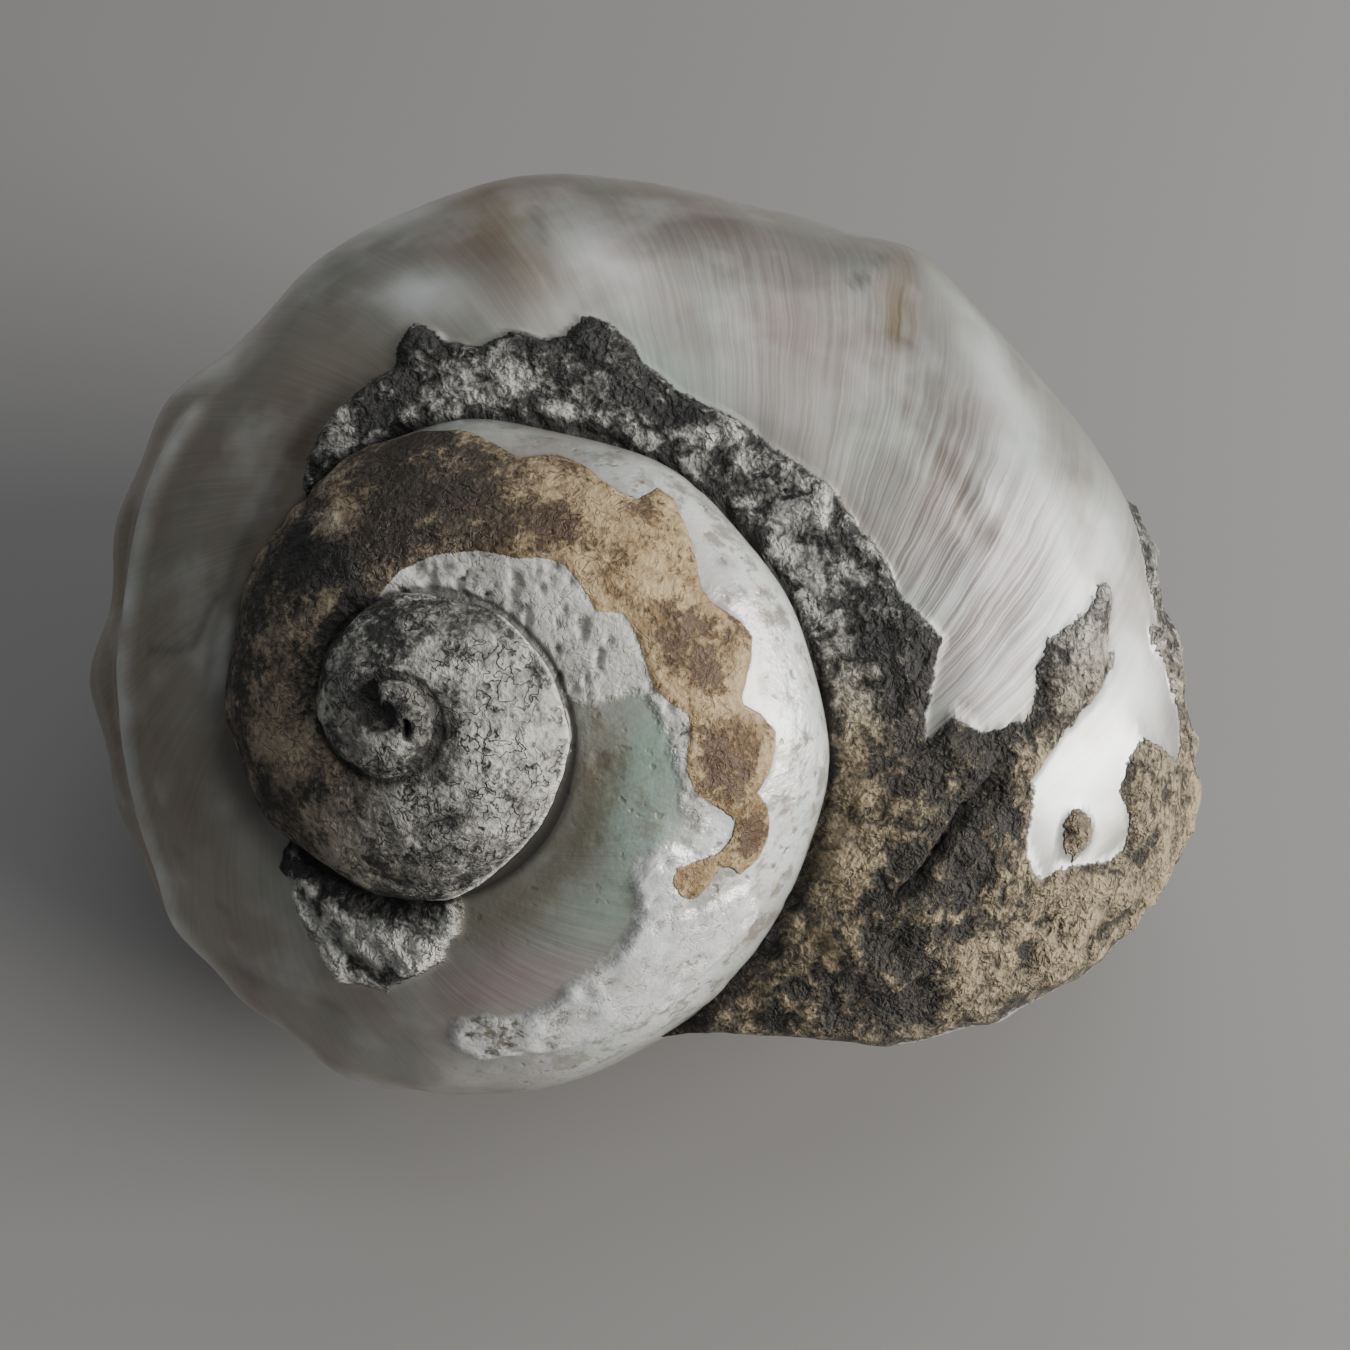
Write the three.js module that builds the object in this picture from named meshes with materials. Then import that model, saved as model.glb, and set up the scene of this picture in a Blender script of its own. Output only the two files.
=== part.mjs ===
// Turban shell: a worn, empty sea-snail shell, built as one closed solid.
//
// The shell is a helico-spiral. A "stage" t counts turns of growth, and the suture (the seam
// between whorls) winds round the axis at radius sutureRadius(t) and depth sutureDepth(t).
// The wall of each whorl is an arc from the suture at t to the suture at t + 1, carried on
// round the base to the axis. The bore is a second spiral tube inside the last whorl, open at
// the mouth. Everything is worked out in the shell's own frame (axis vertical, apex at the
// origin) and then leaned over into the pose in which the shell rests on a table.
import * as THREE from 'three';

// ---- Driving dimensions: millimetres, turns and degrees ----
const LIP_STAGE = 2.18; // stage of the suture at the lip
const APEX_STAGE = -0.9; // stage where the first whorl starts
const LIP_SUTURE_RADIUS = 27.5; // suture radius scale at the lip
const GROWTH_RATE = 0.752; // growth of ln(radius) per turn
const GROWTH_SLOWING = 0.118; // loss of that rate per turn squared
const LIP_SPREAD = 0.097; // extra widening past the lip's suture
const OVAL = { sine: 0.047, cosine: 0.017 }; // once-a-turn unevenness of the spiral
const SPIRE_SLOPE = 0.748; // suture depth over radius, at the lip
const SPIRE_SLOPE_GAIN = 0.103; // change of that ratio per turn

const WHORL_FLATNESS = 0.651; // distance of the arc's centre below its chord, in chords
const BASE_START = -15; // where the base begins to flatten, degrees on the arc
const BASE_SPAN = 100; // degrees over which it does
const BASE_DEPTH = [ // turns back from the lip, depth of the base over the arc radius
  [0, 0.32], [0.8, 1.08], [1.15, 0.78], [1.6, 0.62],
];
const AXIS_END = 0.12; // radius where the base meets the axis, in suture radii

const LIP_LAG = 0.14; // turns by which the lip leans back at the periphery
const LIP_LAG_POWER = 0.55;
const BASE_LAG = 0.06; // further lag over the base

const KNOB_HEIGHT = 1.4;
const KNOB_STAGES = [1.236, 1.3, 1.41, 1.497, 1.595, 1.69, 1.755, 1.875, 1.955, 2.03];
const KNOB_LENGTH = 0.035; // turns
const KNOB_CENTRE = -24; // degrees on the arc
const KNOB_WIDTH = 17; // degrees on the arc
const KNOB_HOLLOW = 0.35; // the dip between knobs, in knob heights

const WALL = 3.4; // shell wall in the last whorl
const LIP_WALL = 1.3; // shell wall at the lip
const LIP_TAPER = 0.1; // turns over which the wall thins to the lip
const BORE_TURNS = 1.3; // depth of the bore behind the lip
const BORE_TIP = 0.12; // share of the bore that closes in a rounded end
const BORE_OFFSET = 0.22; // bore centre outward from the arc's centre, in arc radii
const BORE_ROUNDING = 0.1; // rounding of the bore's corners, in arc radii
const PILLAR = 0.16; // radius of the central pillar, in suture radii
const INNER_GLAZE = 0.5; // nacre laid over the previous whorl inside the mouth
const BORE_LAG = [ // degrees round the bore from its suture corner, lag in turns
  [0, 0], [20, 0.05], [60, 0.11], [100, 0.14], [150, 0.17], [200, 0.18], [250, 0.13],
  [300, 0.05], [360, 0],
];

const AXIS_LEAN = 32.1; // degrees from the vertical
const AXIS_HEADING = 244.5; // compass of the lean, degrees anticlockwise from +X
const AXIS_SPIN = -2; // turn of the shell about its own axis, degrees
const WORN_FLAT = 0.8; // height ground off where the shell touches the table

// ---- Mesh steps ----
const STEPS_PER_TURN = 50;
const SHOULDER_ROWS = 8; // rows from suture to suture
const BASE_ROWS = 10; // rows from there to the axis
const BORE_SIDES = 24;
const PROFILE_SAMPLES = 90;

const TURN = 2 * Math.PI;
const ROWS = SHOULDER_ROWS + BASE_ROWS;
const radians = (degrees) => (degrees * Math.PI) / 180;
const clamp = (x, low, high) => Math.min(high, Math.max(low, x));

// Straight-line interpolation in a list of [x, y] keys.
function fromKeys(keys, x) {
  for (let i = 1; i < keys.length; i += 1) {
    const [x0, y0] = keys[i - 1];
    const [x1, y1] = keys[i];
    if (x <= x1) return y0 + (y1 - y0) * clamp((x - x0) / (x1 - x0), 0, 1);
  }
  return keys[keys.length - 1][1];
}

// ---- Growth law ----
function sutureRadius(t) {
  const back = t - LIP_STAGE;
  const spread = LIP_SPREAD * Math.max(back, 0) ** 2;
  const oval = OVAL.sine * Math.sin(TURN * t) + OVAL.cosine * Math.cos(TURN * t);
  return LIP_SUTURE_RADIUS
    * Math.exp(GROWTH_RATE * back - GROWTH_SLOWING * back * back + spread + oval);
}

function sutureDepth(t) {
  return sutureRadius(t) * (SPIRE_SLOPE + SPIRE_SLOPE_GAIN * (t - LIP_STAGE));
}

// The whorl's arc in the half-plane at stage t: its centre, radius and end angles.
function whorlArc(t) {
  const r0 = sutureRadius(t);
  const z0 = sutureDepth(t);
  const dr = sutureRadius(t + 1) - r0;
  const dz = sutureDepth(t + 1) - z0;
  const r = r0 + dr / 2 - WHORL_FLATNESS * dz;
  const z = z0 + dz / 2 + WHORL_FLATNESS * dr;
  const radius = Math.hypot(dr, dz) * Math.hypot(WHORL_FLATNESS, 0.5);
  const base = fromKeys(BASE_DEPTH, LIP_STAGE - t);
  return {
    r, z, radius, base,
    start: Math.atan2(z0 - z, r0 - r),
    middle: Math.atan2(z0 + dz - z, r0 + dr - r),
    end: Math.acos(clamp((AXIS_END * r0 - r) / radius, -1, 1)),
  };
}

// Angle on the arc for a row value u: 0 at the upper suture, 1 at the lower one, 2 at the axis.
function arcAngle(arc, u) {
  if (u <= 1) return arc.start + (arc.middle - arc.start) * u;
  return arc.middle + (arc.end - arc.middle) * (u - 1);
}

// Radius and depth of the outline at an angle on the arc.
function onArc(arc, angle) {
  const x = clamp((angle - radians(BASE_START)) / radians(BASE_SPAN), 0, 1);
  const flattening = x * x * (3 - 2 * x) * (1 - arc.base);
  return [
    arc.r + arc.radius * Math.cos(angle),
    arc.z + arc.radius * Math.sin(angle) * (1 - flattening),
  ];
}

// Outward direction of the outline there.
function arcNormal(arc, angle) {
  const [r0, z0] = onArc(arc, angle);
  const [r1, z1] = onArc(arc, angle + 0.001);
  const length = Math.hypot(r1 - r0, z1 - z0);
  return [(z1 - z0) / length, -(r1 - r0) / length];
}

// Height of the worn knobs on the shoulder, as a share of the full height.
function knobs(t, angle) {
  const across = Math.exp(-0.5 * ((angle - radians(KNOB_CENTRE)) / radians(KNOB_WIDTH)) ** 2);
  let along = -KNOB_HOLLOW;
  for (const stage of KNOB_STAGES) {
    for (let whorl = 0; whorl < 3; whorl += 1) {
      along += Math.exp(-0.5 * ((t - stage + whorl) / KNOB_LENGTH) ** 2);
    }
  }
  return along * across;
}

function inSpace(t, r, z) {
  return new THREE.Vector3(r * Math.cos(TURN * t), -r * Math.sin(TURN * t), -z);
}

// A point of the outer surface on growth line g, at row value u.
function outerPoint(g, u) {
  const lag = LIP_LAG * Math.min(u, 1) ** LIP_LAG_POWER + BASE_LAG * clamp(u - 1, 0, 1);
  const t = g - lag;
  const arc = whorlArc(t);
  const angle = arcAngle(arc, u);
  const [r, z] = onArc(arc, angle);
  const [nr, nz] = arcNormal(arc, angle);
  const height = (KNOB_HEIGHT * knobs(t, angle) * arc.radius) / whorlArc(LIP_STAGE).radius;
  return inSpace(t, r + nr * height, z + nz * height);
}

// ---- Bore ----

// The outline between two row values, moved outward by a distance.
function offsetOutline(arc, from, to, distance) {
  return Array.from({ length: PROFILE_SAMPLES + 1 }, (_, i) => {
    const angle = arcAngle(arc, from + ((to - from) * i) / PROFILE_SAMPLES);
    const [r, z] = onArc(arc, angle);
    const [nr, nz] = arcNormal(arc, angle);
    return [r + nr * distance, z + nz * distance];
  });
}

// Distance from a point along a direction to the first crossing of an outline.
function rayTo(outline, [pr, pz], [dr, dz]) {
  let nearest = Infinity;
  for (let i = 1; i < outline.length; i += 1) {
    const [ar, az] = outline[i - 1];
    const er = outline[i][0] - ar;
    const ez = outline[i][1] - az;
    const cross = dr * ez - dz * er;
    const along = ((ar - pr) * ez - (az - pz) * er) / cross;
    const share = ((ar - pr) * dz - (az - pz) * dr) / cross;
    if (along > 0 && share >= -0.001 && share <= 1.001) nearest = Math.min(nearest, along);
  }
  return nearest;
}

// Minimum of a few lengths with its corners rounded.
function roundedMinimum(lengths, rounding) {
  const known = lengths.filter(Number.isFinite);
  const least = Math.min(...known);
  const sum = known.reduce((total, x) => total + Math.exp(-(x - least) / rounding), 0);
  return least - rounding * Math.log(sum);
}

// A point of the bore's wall: growth line g, bearing round the bore's centre.
function borePoint(g, bearing, wall, narrowing) {
  const t = g - fromKeys(BORE_LAG, bearing);
  const angle = radians(bearing - 100);
  const direction = [Math.cos(angle), Math.sin(angle)];
  const arc = whorlArc(t);
  const previous = whorlArc(t - 1);
  const centre = [arc.r + BORE_OFFSET * arc.radius, arc.z];
  const scale = sutureRadius(t + 1) / sutureRadius(LIP_STAGE + 1);
  const outside = offsetOutline(arc, 0, 2, -wall * scale ** 0.6);
  const glaze = (INNER_GLAZE * arc.radius) / whorlArc(LIP_STAGE).radius;
  const inside = offsetOutline(previous, 1, 2, glaze);
  const toPillar = direction[0] < 0 ? (PILLAR * sutureRadius(t) - centre[0]) / direction[0] : Infinity;
  const lengths = [rayTo(outside, centre, direction), rayTo(inside, centre, direction), toPillar];
  const length = narrowing * Math.max(
    roundedMinimum(lengths, BORE_ROUNDING * arc.radius), 0.05 * arc.radius,
  );
  return inSpace(t, centre[0] + length * direction[0], centre[1] + length * direction[1]);
}

// Rings of the bore, from the lip inward.
function boreRings() {
  const steps = Math.round(BORE_TURNS * STEPS_PER_TURN);
  return Array.from({ length: steps + 1 }, (_, i) => {
    const back = i / STEPS_PER_TURN;
    const wall = LIP_WALL + (WALL - LIP_WALL) * clamp(back / LIP_TAPER, 0, 1);
    const tip = clamp((i / steps - (1 - BORE_TIP)) / (BORE_TIP * 1.04), 0, 1);
    const narrowing = Math.sqrt(1 - tip * tip);
    return Array.from({ length: BORE_SIDES }, (__, k) => (
      borePoint(LIP_STAGE - back, (360 * k) / BORE_SIDES, wall, narrowing)));
  });
}

// ---- Closed mesh ----

class ShellMesh {
  constructor() {
    this.points = [];
    this.faces = [];
  }

  add(point) {
    this.points.push(point);
    return this.points.length - 1;
  }

  quad(a, b, c, d) {
    this.faces.push([a, b, c], [a, c, d]);
  }

  // Close a loop of vertices to one middle point, which is moved up by lift.
  fan(loop, lift = 0) {
    const middle = new THREE.Vector3();
    loop.forEach((v) => middle.add(this.points[v]));
    middle.divideScalar(loop.length);
    middle.z += lift;
    const centre = this.add(middle);
    loop.forEach((v, i) => this.faces.push([v, loop[(i + 1) % loop.length], centre]));
  }

  // Share of its loop's length at which each vertex of a loop lies.
  loopShares(loop) {
    const shares = [0];
    loop.forEach((v, i) => {
      const next = this.points[loop[(i + 1) % loop.length]];
      shares.push(shares[i] + this.points[v].distanceTo(next));
    });
    return shares.map((share) => share / shares[loop.length]);
  }

  // Join two loops that run the same way with one strip of triangles.
  bridge(outer, innerLoop) {
    const start = this.points[outer[0]];
    const distances = innerLoop.map((v) => this.points[v].distanceTo(start));
    const nearest = distances.indexOf(Math.min(...distances));
    const inner = [...innerLoop.slice(nearest), ...innerLoop.slice(0, nearest)];
    const outerShares = this.loopShares(outer);
    const innerShares = this.loopShares(inner);
    let o = 0;
    let i = 0;
    while (o < outer.length || i < inner.length) {
      const a = outer[o % outer.length];
      const b = inner[i % inner.length];
      if (i >= inner.length || (o < outer.length && outerShares[o + 1] <= innerShares[i + 1])) {
        this.faces.push([a, b, outer[(o + 1) % outer.length]]);
        o += 1;
      } else {
        this.faces.push([a, b, inner[(i + 1) % inner.length]]);
        i += 1;
      }
    }
  }
}

// Row values, closer together below the suture.
function rowValues() {
  const shoulder = Array.from({ length: SHOULDER_ROWS }, (_, k) => (k / SHOULDER_ROWS) ** 1.15);
  const base = Array.from({ length: BASE_ROWS + 1 }, (_, k) => 1 + k / BASE_ROWS);
  return [...shoulder, ...base];
}

// Outer surface. Column 0 is the lip, and each whorl's top row is the row where the whorl
// before it meets the suture. Returns the loops left open at the apex, the axis and the mouth.
function addOuterSurface(mesh) {
  const perWhorl = STEPS_PER_TURN - Math.round(LIP_LAG * STEPS_PER_TURN);
  const last = Math.round((LIP_STAGE - APEX_STAGE) * STEPS_PER_TURN);
  const values = rowValues();
  const ids = [];
  for (let i = 0; i <= last; i += 1) {
    const rows = i <= perWhorl ? ROWS : SHOULDER_ROWS;
    const first = i + perWhorl <= last ? 1 : 0;
    ids.push([]);
    for (let k = first; k <= rows; k += 1) {
      ids[i][k] = mesh.add(outerPoint(LIP_STAGE - i / STEPS_PER_TURN, values[k]));
    }
  }
  for (let i = 0; i + perWhorl <= last; i += 1) ids[i][0] = ids[i + perWhorl][SHOULDER_ROWS];
  for (let i = 0; i < last; i += 1) {
    const rows = i < perWhorl ? ROWS : SHOULDER_ROWS;
    for (let k = 0; k < rows; k += 1) {
      mesh.quad(ids[i][k], ids[i][k + 1], ids[i + 1][k + 1], ids[i + 1][k]);
    }
  }
  const apex = [];
  for (let i = last - perWhorl; i <= last; i += 1) apex.push(ids[i][0]);
  for (let k = 1; k < SHOULDER_ROWS; k += 1) apex.push(ids[last][k]);
  const axis = [];
  for (let i = perWhorl; i >= 0; i -= 1) axis.push(ids[i][ROWS]);
  const mouth = [...ids[0]];
  for (let k = ROWS; k > SHOULDER_ROWS; k -= 1) mouth.push(ids[perWhorl][k]);
  return { apex, axis, mouth };
}

function addBore(mesh, mouth) {
  const rings = boreRings().map((ring) => ring.map((point) => mesh.add(point)));
  for (let i = 1; i < rings.length; i += 1) {
    for (let k = 0; k < BORE_SIDES; k += 1) {
      const next = (k + 1) % BORE_SIDES;
      mesh.quad(rings[i - 1][k], rings[i][k], rings[i][next], rings[i - 1][next]);
    }
  }
  mesh.fan([...rings[rings.length - 1]].reverse());
  mesh.bridge(mouth, rings[0]);
}

// Lean the shell into its resting pose, put it on z = 0 and grind its contact points flat.
function restOnTable(points) {
  const heading = new THREE.Quaternion().setFromAxisAngle(
    new THREE.Vector3(-Math.sin(radians(AXIS_HEADING)), Math.cos(radians(AXIS_HEADING)), 0),
    radians(AXIS_LEAN),
  );
  const spin = new THREE.Quaternion().setFromAxisAngle(
    new THREE.Vector3(0, 0, 1), radians(AXIS_SPIN),
  );
  const turn = heading.multiply(spin);
  points.forEach((point) => point.applyQuaternion(turn));
  const box = new THREE.Box3().setFromPoints(points);
  const centre = box.getCenter(new THREE.Vector3());
  points.forEach((point) => {
    point.x -= centre.x;
    point.y -= centre.y;
    point.z = Math.max(point.z - box.min.z - WORN_FLAT, 0);
  });
}

function buildShell() {
  const mesh = new ShellMesh();
  const { apex, axis, mouth } = addOuterSurface(mesh);
  mesh.fan(apex);
  mesh.fan(axis, 0.8);
  addBore(mesh, mouth);
  restOnTable(mesh.points);
  const geometry = new THREE.BufferGeometry().setFromPoints(mesh.points);
  geometry.setIndex(mesh.faces.flat());
  geometry.computeVertexNormals();
  return geometry;
}

const shellMaterial = new THREE.MeshStandardMaterial({
  color: 0xb9b4ab, roughness: 0.42, metalness: 0,
});
const shell = new THREE.Mesh(buildShell(), shellMaterial);
shell.name = 'shell';

const turbanShell = new THREE.Group();
turbanShell.add(shell);

export default turbanShell;
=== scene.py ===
"""Worn, empty turban shell resting on a pale table.

The shell is one piece. Its surface is a spiral sheet measured in turns of growth ("stage") and
in how far down the whorl a point lies ("row": 0 at the upper seam, 1 at the lower seam, 2 at the
axis). Patches of crust, brown skin, chalk and nacre are outlined in those two measures, raised
or sunk in the mesh, and coloured by one layered material.
"""

import logging
import math
from dataclasses import dataclass, field
from enum import Enum

import bpy
import numpy as np
from mathutils import Matrix, Vector


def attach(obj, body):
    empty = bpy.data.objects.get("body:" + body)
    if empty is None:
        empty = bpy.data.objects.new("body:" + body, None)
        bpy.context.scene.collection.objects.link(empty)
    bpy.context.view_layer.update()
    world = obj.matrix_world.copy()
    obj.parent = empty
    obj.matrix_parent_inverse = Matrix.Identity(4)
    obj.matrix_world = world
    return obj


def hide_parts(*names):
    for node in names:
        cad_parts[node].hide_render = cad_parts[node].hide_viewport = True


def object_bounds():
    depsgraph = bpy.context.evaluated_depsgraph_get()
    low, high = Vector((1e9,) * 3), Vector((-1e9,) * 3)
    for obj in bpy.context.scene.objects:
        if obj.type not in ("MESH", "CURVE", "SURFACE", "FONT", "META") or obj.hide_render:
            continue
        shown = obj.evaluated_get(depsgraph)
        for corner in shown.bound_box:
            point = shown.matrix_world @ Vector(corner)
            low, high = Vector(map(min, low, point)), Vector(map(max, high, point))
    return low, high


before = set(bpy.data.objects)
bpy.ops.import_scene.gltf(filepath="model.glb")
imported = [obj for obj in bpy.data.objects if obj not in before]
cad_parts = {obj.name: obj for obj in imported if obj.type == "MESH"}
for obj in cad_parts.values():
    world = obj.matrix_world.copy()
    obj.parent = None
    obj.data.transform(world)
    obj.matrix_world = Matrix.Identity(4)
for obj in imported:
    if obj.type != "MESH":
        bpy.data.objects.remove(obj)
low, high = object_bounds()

LOG = logging.getLogger("turban_shell")
TURN = 2 * math.pi
MM = 0.001
Points = tuple[tuple[float, float], ...]
Colour = tuple[float, float, float]


def smooth(x: np.ndarray, start: float, end: float) -> np.ndarray:
    """Ease from 0 at the start value to 1 at the end value."""
    s = np.clip((x - start) / (end - start), 0, 1)
    return s * s * (3 - 2 * s)


def to_path(x: np.ndarray, y: np.ndarray, corners: np.ndarray) -> np.ndarray:
    """Distance to a path of straight pieces.

    Args:
        x: First coordinates of the places.
        y: Second coordinates of the places.
        corners: Corners of the path, one row each.

    Returns:
        The distances, the same shape as x.
    """
    least = np.full(x.shape, np.inf)
    for (ax, ay), (bx, by) in zip(corners[:-1], corners[1:]):
        ex, ey = bx - ax, by - ay
        share = np.clip(((x - ax) * ex + (y - ay) * ey) / (ex * ex + ey * ey), 0, 1)
        least = np.minimum(least, np.hypot(x - ax - share * ex, y - ay - share * ey))
    return least


def linear(colour: Colour) -> tuple[float, float, float, float]:
    """Turn a colour as seen on a screen into linear light, with an alpha of 1."""
    channels = [c / 12.92 if c <= 0.04045 else ((c + 0.055) / 1.055) ** 2.4 for c in colour]
    return (channels[0], channels[1], channels[2], 1.0)


class Noise:
    """Smooth random values in space, the same on every run."""

    TABLE = 8192

    def __init__(self, seed: int) -> None:
        """Fill the table of random values from a seed."""
        self.values = np.random.default_rng(seed).uniform(-1, 1, self.TABLE)

    def at(self, points: np.ndarray, size: float) -> np.ndarray:
        """Sample one layer of noise.

        Args:
            points: Positions in mm, with the coordinates last.
            size: Size of the lumps in mm.

        Returns:
            Values from -1 to 1.
        """
        scaled = points / size
        cell = np.floor(scaled).astype(np.int64)
        part = smooth(scaled - cell, 0, 1)
        total = np.zeros(points.shape[:-1])
        for corner in np.ndindex(2, 2, 2):
            x, y, z = (cell[..., a] + corner[a] for a in range(3))
            key = (x * 73856093 ^ y * 19349663 ^ z * 83492791) % self.TABLE
            weight = np.ones(points.shape[:-1])
            for a in range(3):
                weight = weight * (part[..., a] if corner[a] else 1 - part[..., a])
            total += weight * self.values[key]
        return total

    def layered(self, points: np.ndarray, size: float, layers: int = 3) -> np.ndarray:
        """Add up layers, each half the size and strength of the one before."""
        return sum(self.at(points + 17.3 * n, size / 2**n) / 2**n for n in range(layers)) / 1.4


# ---- The shell's form ----


@dataclass(frozen=True)
class Growth:
    """The spiral that the seam follows, in mm and turns."""

    lip: float = 2.18
    apex: float = -1.15
    lip_radius: float = 27.5
    rate: float = 0.752
    slowing: float = 0.118
    spread: float = 0.097
    oval_sine: float = 0.047
    oval_cosine: float = 0.017
    slope: float = 0.748
    slope_gain: float = 0.103

    def radius(self, t: np.ndarray) -> np.ndarray:
        """Distance of the seam from the axis.

        Args:
            t: Stages.

        Returns:
            Radii in mm.
        """
        back = t - self.lip
        oval = self.oval_sine * np.sin(TURN * t) + self.oval_cosine * np.cos(TURN * t)
        spread = self.spread * np.maximum(back, 0) ** 2
        return self.lip_radius * np.exp(
            self.rate * back - self.slowing * back * back + spread + oval
        )

    def depth(self, t: np.ndarray) -> np.ndarray:
        """Depth of the seam below the apex, in mm."""
        return self.radius(t) * (self.slope + self.slope_gain * (t - self.lip))


@dataclass(frozen=True)
class Arc:
    """The outline of the whorl at one or more stages."""

    r: np.ndarray
    z: np.ndarray
    size: np.ndarray
    base: np.ndarray
    start: np.ndarray
    middle: np.ndarray
    end: np.ndarray

    BASE_START = math.radians(-15)
    BASE_SPAN = math.radians(100)

    def angle(self, u: np.ndarray) -> np.ndarray:
        """Angle on the arc, in radians, for row values from 0 to 2."""
        upper = self.start + (self.middle - self.start) * np.minimum(u, 1)
        return upper + (self.end - self.middle) * np.maximum(u - 1, 0)

    def point(self, angle: np.ndarray) -> tuple[np.ndarray, np.ndarray]:
        """Radius and depth of the outline.

        Args:
            angle: Angles in radians.

        Returns:
            Radii and depths in mm.
        """
        x = np.clip((angle - self.BASE_START) / self.BASE_SPAN, 0, 1)
        flattening = x * x * (3 - 2 * x) * (1 - self.base)
        return (
            self.r + self.size * np.cos(angle),
            self.z + self.size * np.sin(angle) * (1 - flattening),
        )

    def outward(self, angle: np.ndarray) -> tuple[np.ndarray, np.ndarray]:
        """Outward direction of the outline.

        Args:
            angle: Angles in radians.

        Returns:
            Unit steps in radius and depth.
        """
        r0, z0 = self.point(angle)
        r1, z1 = self.point(angle + 0.001)
        length = np.hypot(r1 - r0, z1 - z0)
        return (z1 - z0) / length, -(r1 - r0) / length


@dataclass(frozen=True)
class Bump:
    """A single rounded rise on the whorl, in turns, rows and mm."""

    stage: float
    row: float
    length: float
    width: float
    height: float


SIDE_BUMPS = tuple(
    Bump(stage, 0.7, 0.015, 0.12, 1.7)
    for stage in (1.27, 1.312, 1.357, 1.402, 1.452, 1.505, 1.56, 1.615)
)


@dataclass(frozen=True)
class Form:
    """Everything that sets the shell's shape, in mm, turns and degrees."""

    growth: Growth = field(default_factory=Growth)
    flatness: float = 0.651
    base_depth: Points = ((0, 0.32), (0.8, 1.08), (1.15, 0.78), (1.6, 0.62))
    axis_end: float = 0.12
    lag: float = 0.14
    lag_power: float = 0.55
    base_lag: float = 0.06
    knob_height: float = 2.3
    knob_stages: tuple[float, ...] = (
        1.236, 1.3, 1.41, 1.497, 1.595, 1.69, 1.755, 1.875, 1.955, 2.03,
    )
    knob_length: float = 0.026
    knob_centre: float = -24.0
    knob_width: float = 14.0
    knob_hollow: float = 0.35
    bumps: tuple[Bump, ...] = (*SIDE_BUMPS, Bump(1.868, 0.88, 0.009, 0.2, 1.0))
    wall: float = 3.4
    lip_wall: float = 1.3
    lip_taper: float = 0.1
    bore_turns: float = 1.3
    bore_tip: float = 0.12
    bore_offset: float = 0.22
    bore_rounding: float = 0.1
    pillar: float = 0.16
    glaze: float = 0.5
    chip: float = 0.006
    chip_reach: float = 0.02
    apex_lift: float = -0.25
    axis_lift: float = 0.8

    def arc(self, t: np.ndarray) -> Arc:
        """Outline of the whorl.

        Args:
            t: Stages.

        Returns:
            The arc from the seam at t to the seam one turn later, carried on to the axis.
        """
        g = self.growth
        r0, z0 = g.radius(t), g.depth(t)
        dr, dz = g.radius(t + 1) - r0, g.depth(t + 1) - z0
        r = r0 + dr / 2 - self.flatness * dz
        z = z0 + dz / 2 + self.flatness * dr
        size = np.hypot(dr, dz) * math.hypot(self.flatness, 0.5)
        keys = np.array(self.base_depth)
        return Arc(
            r, z, size,
            np.interp(g.lip - t, keys[:, 0], keys[:, 1]),
            np.arctan2(z0 - z, r0 - r),
            np.arctan2(z0 + dz - z, r0 + dr - r),
            np.arccos(np.clip((self.axis_end * r0 - r) / size, -1, 1)),
        )

    def lag_at(self, u: np.ndarray) -> np.ndarray:
        """Turns by which a growth line lies behind the seam at each row."""
        return self.lag * np.minimum(u, 1) ** self.lag_power + self.base_lag * np.clip(u - 1, 0, 1)

    def knobs(self, t: np.ndarray, angle: np.ndarray) -> np.ndarray:
        """Height of the worn knobs on the shoulder.

        Args:
            t: Stages.
            angle: Angles on the arc.

        Returns:
            Share of the full height, below 0 between knobs.
        """
        centre, width = math.radians(self.knob_centre), math.radians(self.knob_width)
        across = np.exp(-0.5 * ((angle - centre) / width) ** 2)
        along = -self.knob_hollow
        for stage in self.knob_stages:
            for whorl in range(3):
                along = along + np.exp(-0.5 * ((t - stage + whorl) / self.knob_length) ** 2)
        return along * across

    @staticmethod
    def in_space(t: np.ndarray, r: np.ndarray, z: np.ndarray) -> np.ndarray:
        """Wind radii and depths round an upright axis, in mm."""
        return np.stack([r * np.cos(TURN * t), -r * np.sin(TURN * t), -z], -1)

    def surface(self, t: np.ndarray, u: np.ndarray) -> np.ndarray:
        """Points of the outer surface.

        Args:
            t: Stages.
            u: Row values.

        Returns:
            Points in mm with the axis upright.
        """
        arc = self.arc(t)
        angle = arc.angle(u)
        r, z = arc.point(angle)
        nr, nz = arc.outward(angle)
        lip_size = self.arc(np.array(self.growth.lip)).size
        height = self.knob_height * self.knobs(t, angle) * arc.size / lip_size
        for bump in self.bumps:
            spread = ((t - bump.stage) / bump.length) ** 2 + ((u - bump.row) / bump.width) ** 2
            height = height + bump.height * np.exp(-0.5 * spread) * arc.size / lip_size
        return self.in_space(t, r + nr * height, z + nz * height)


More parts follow.
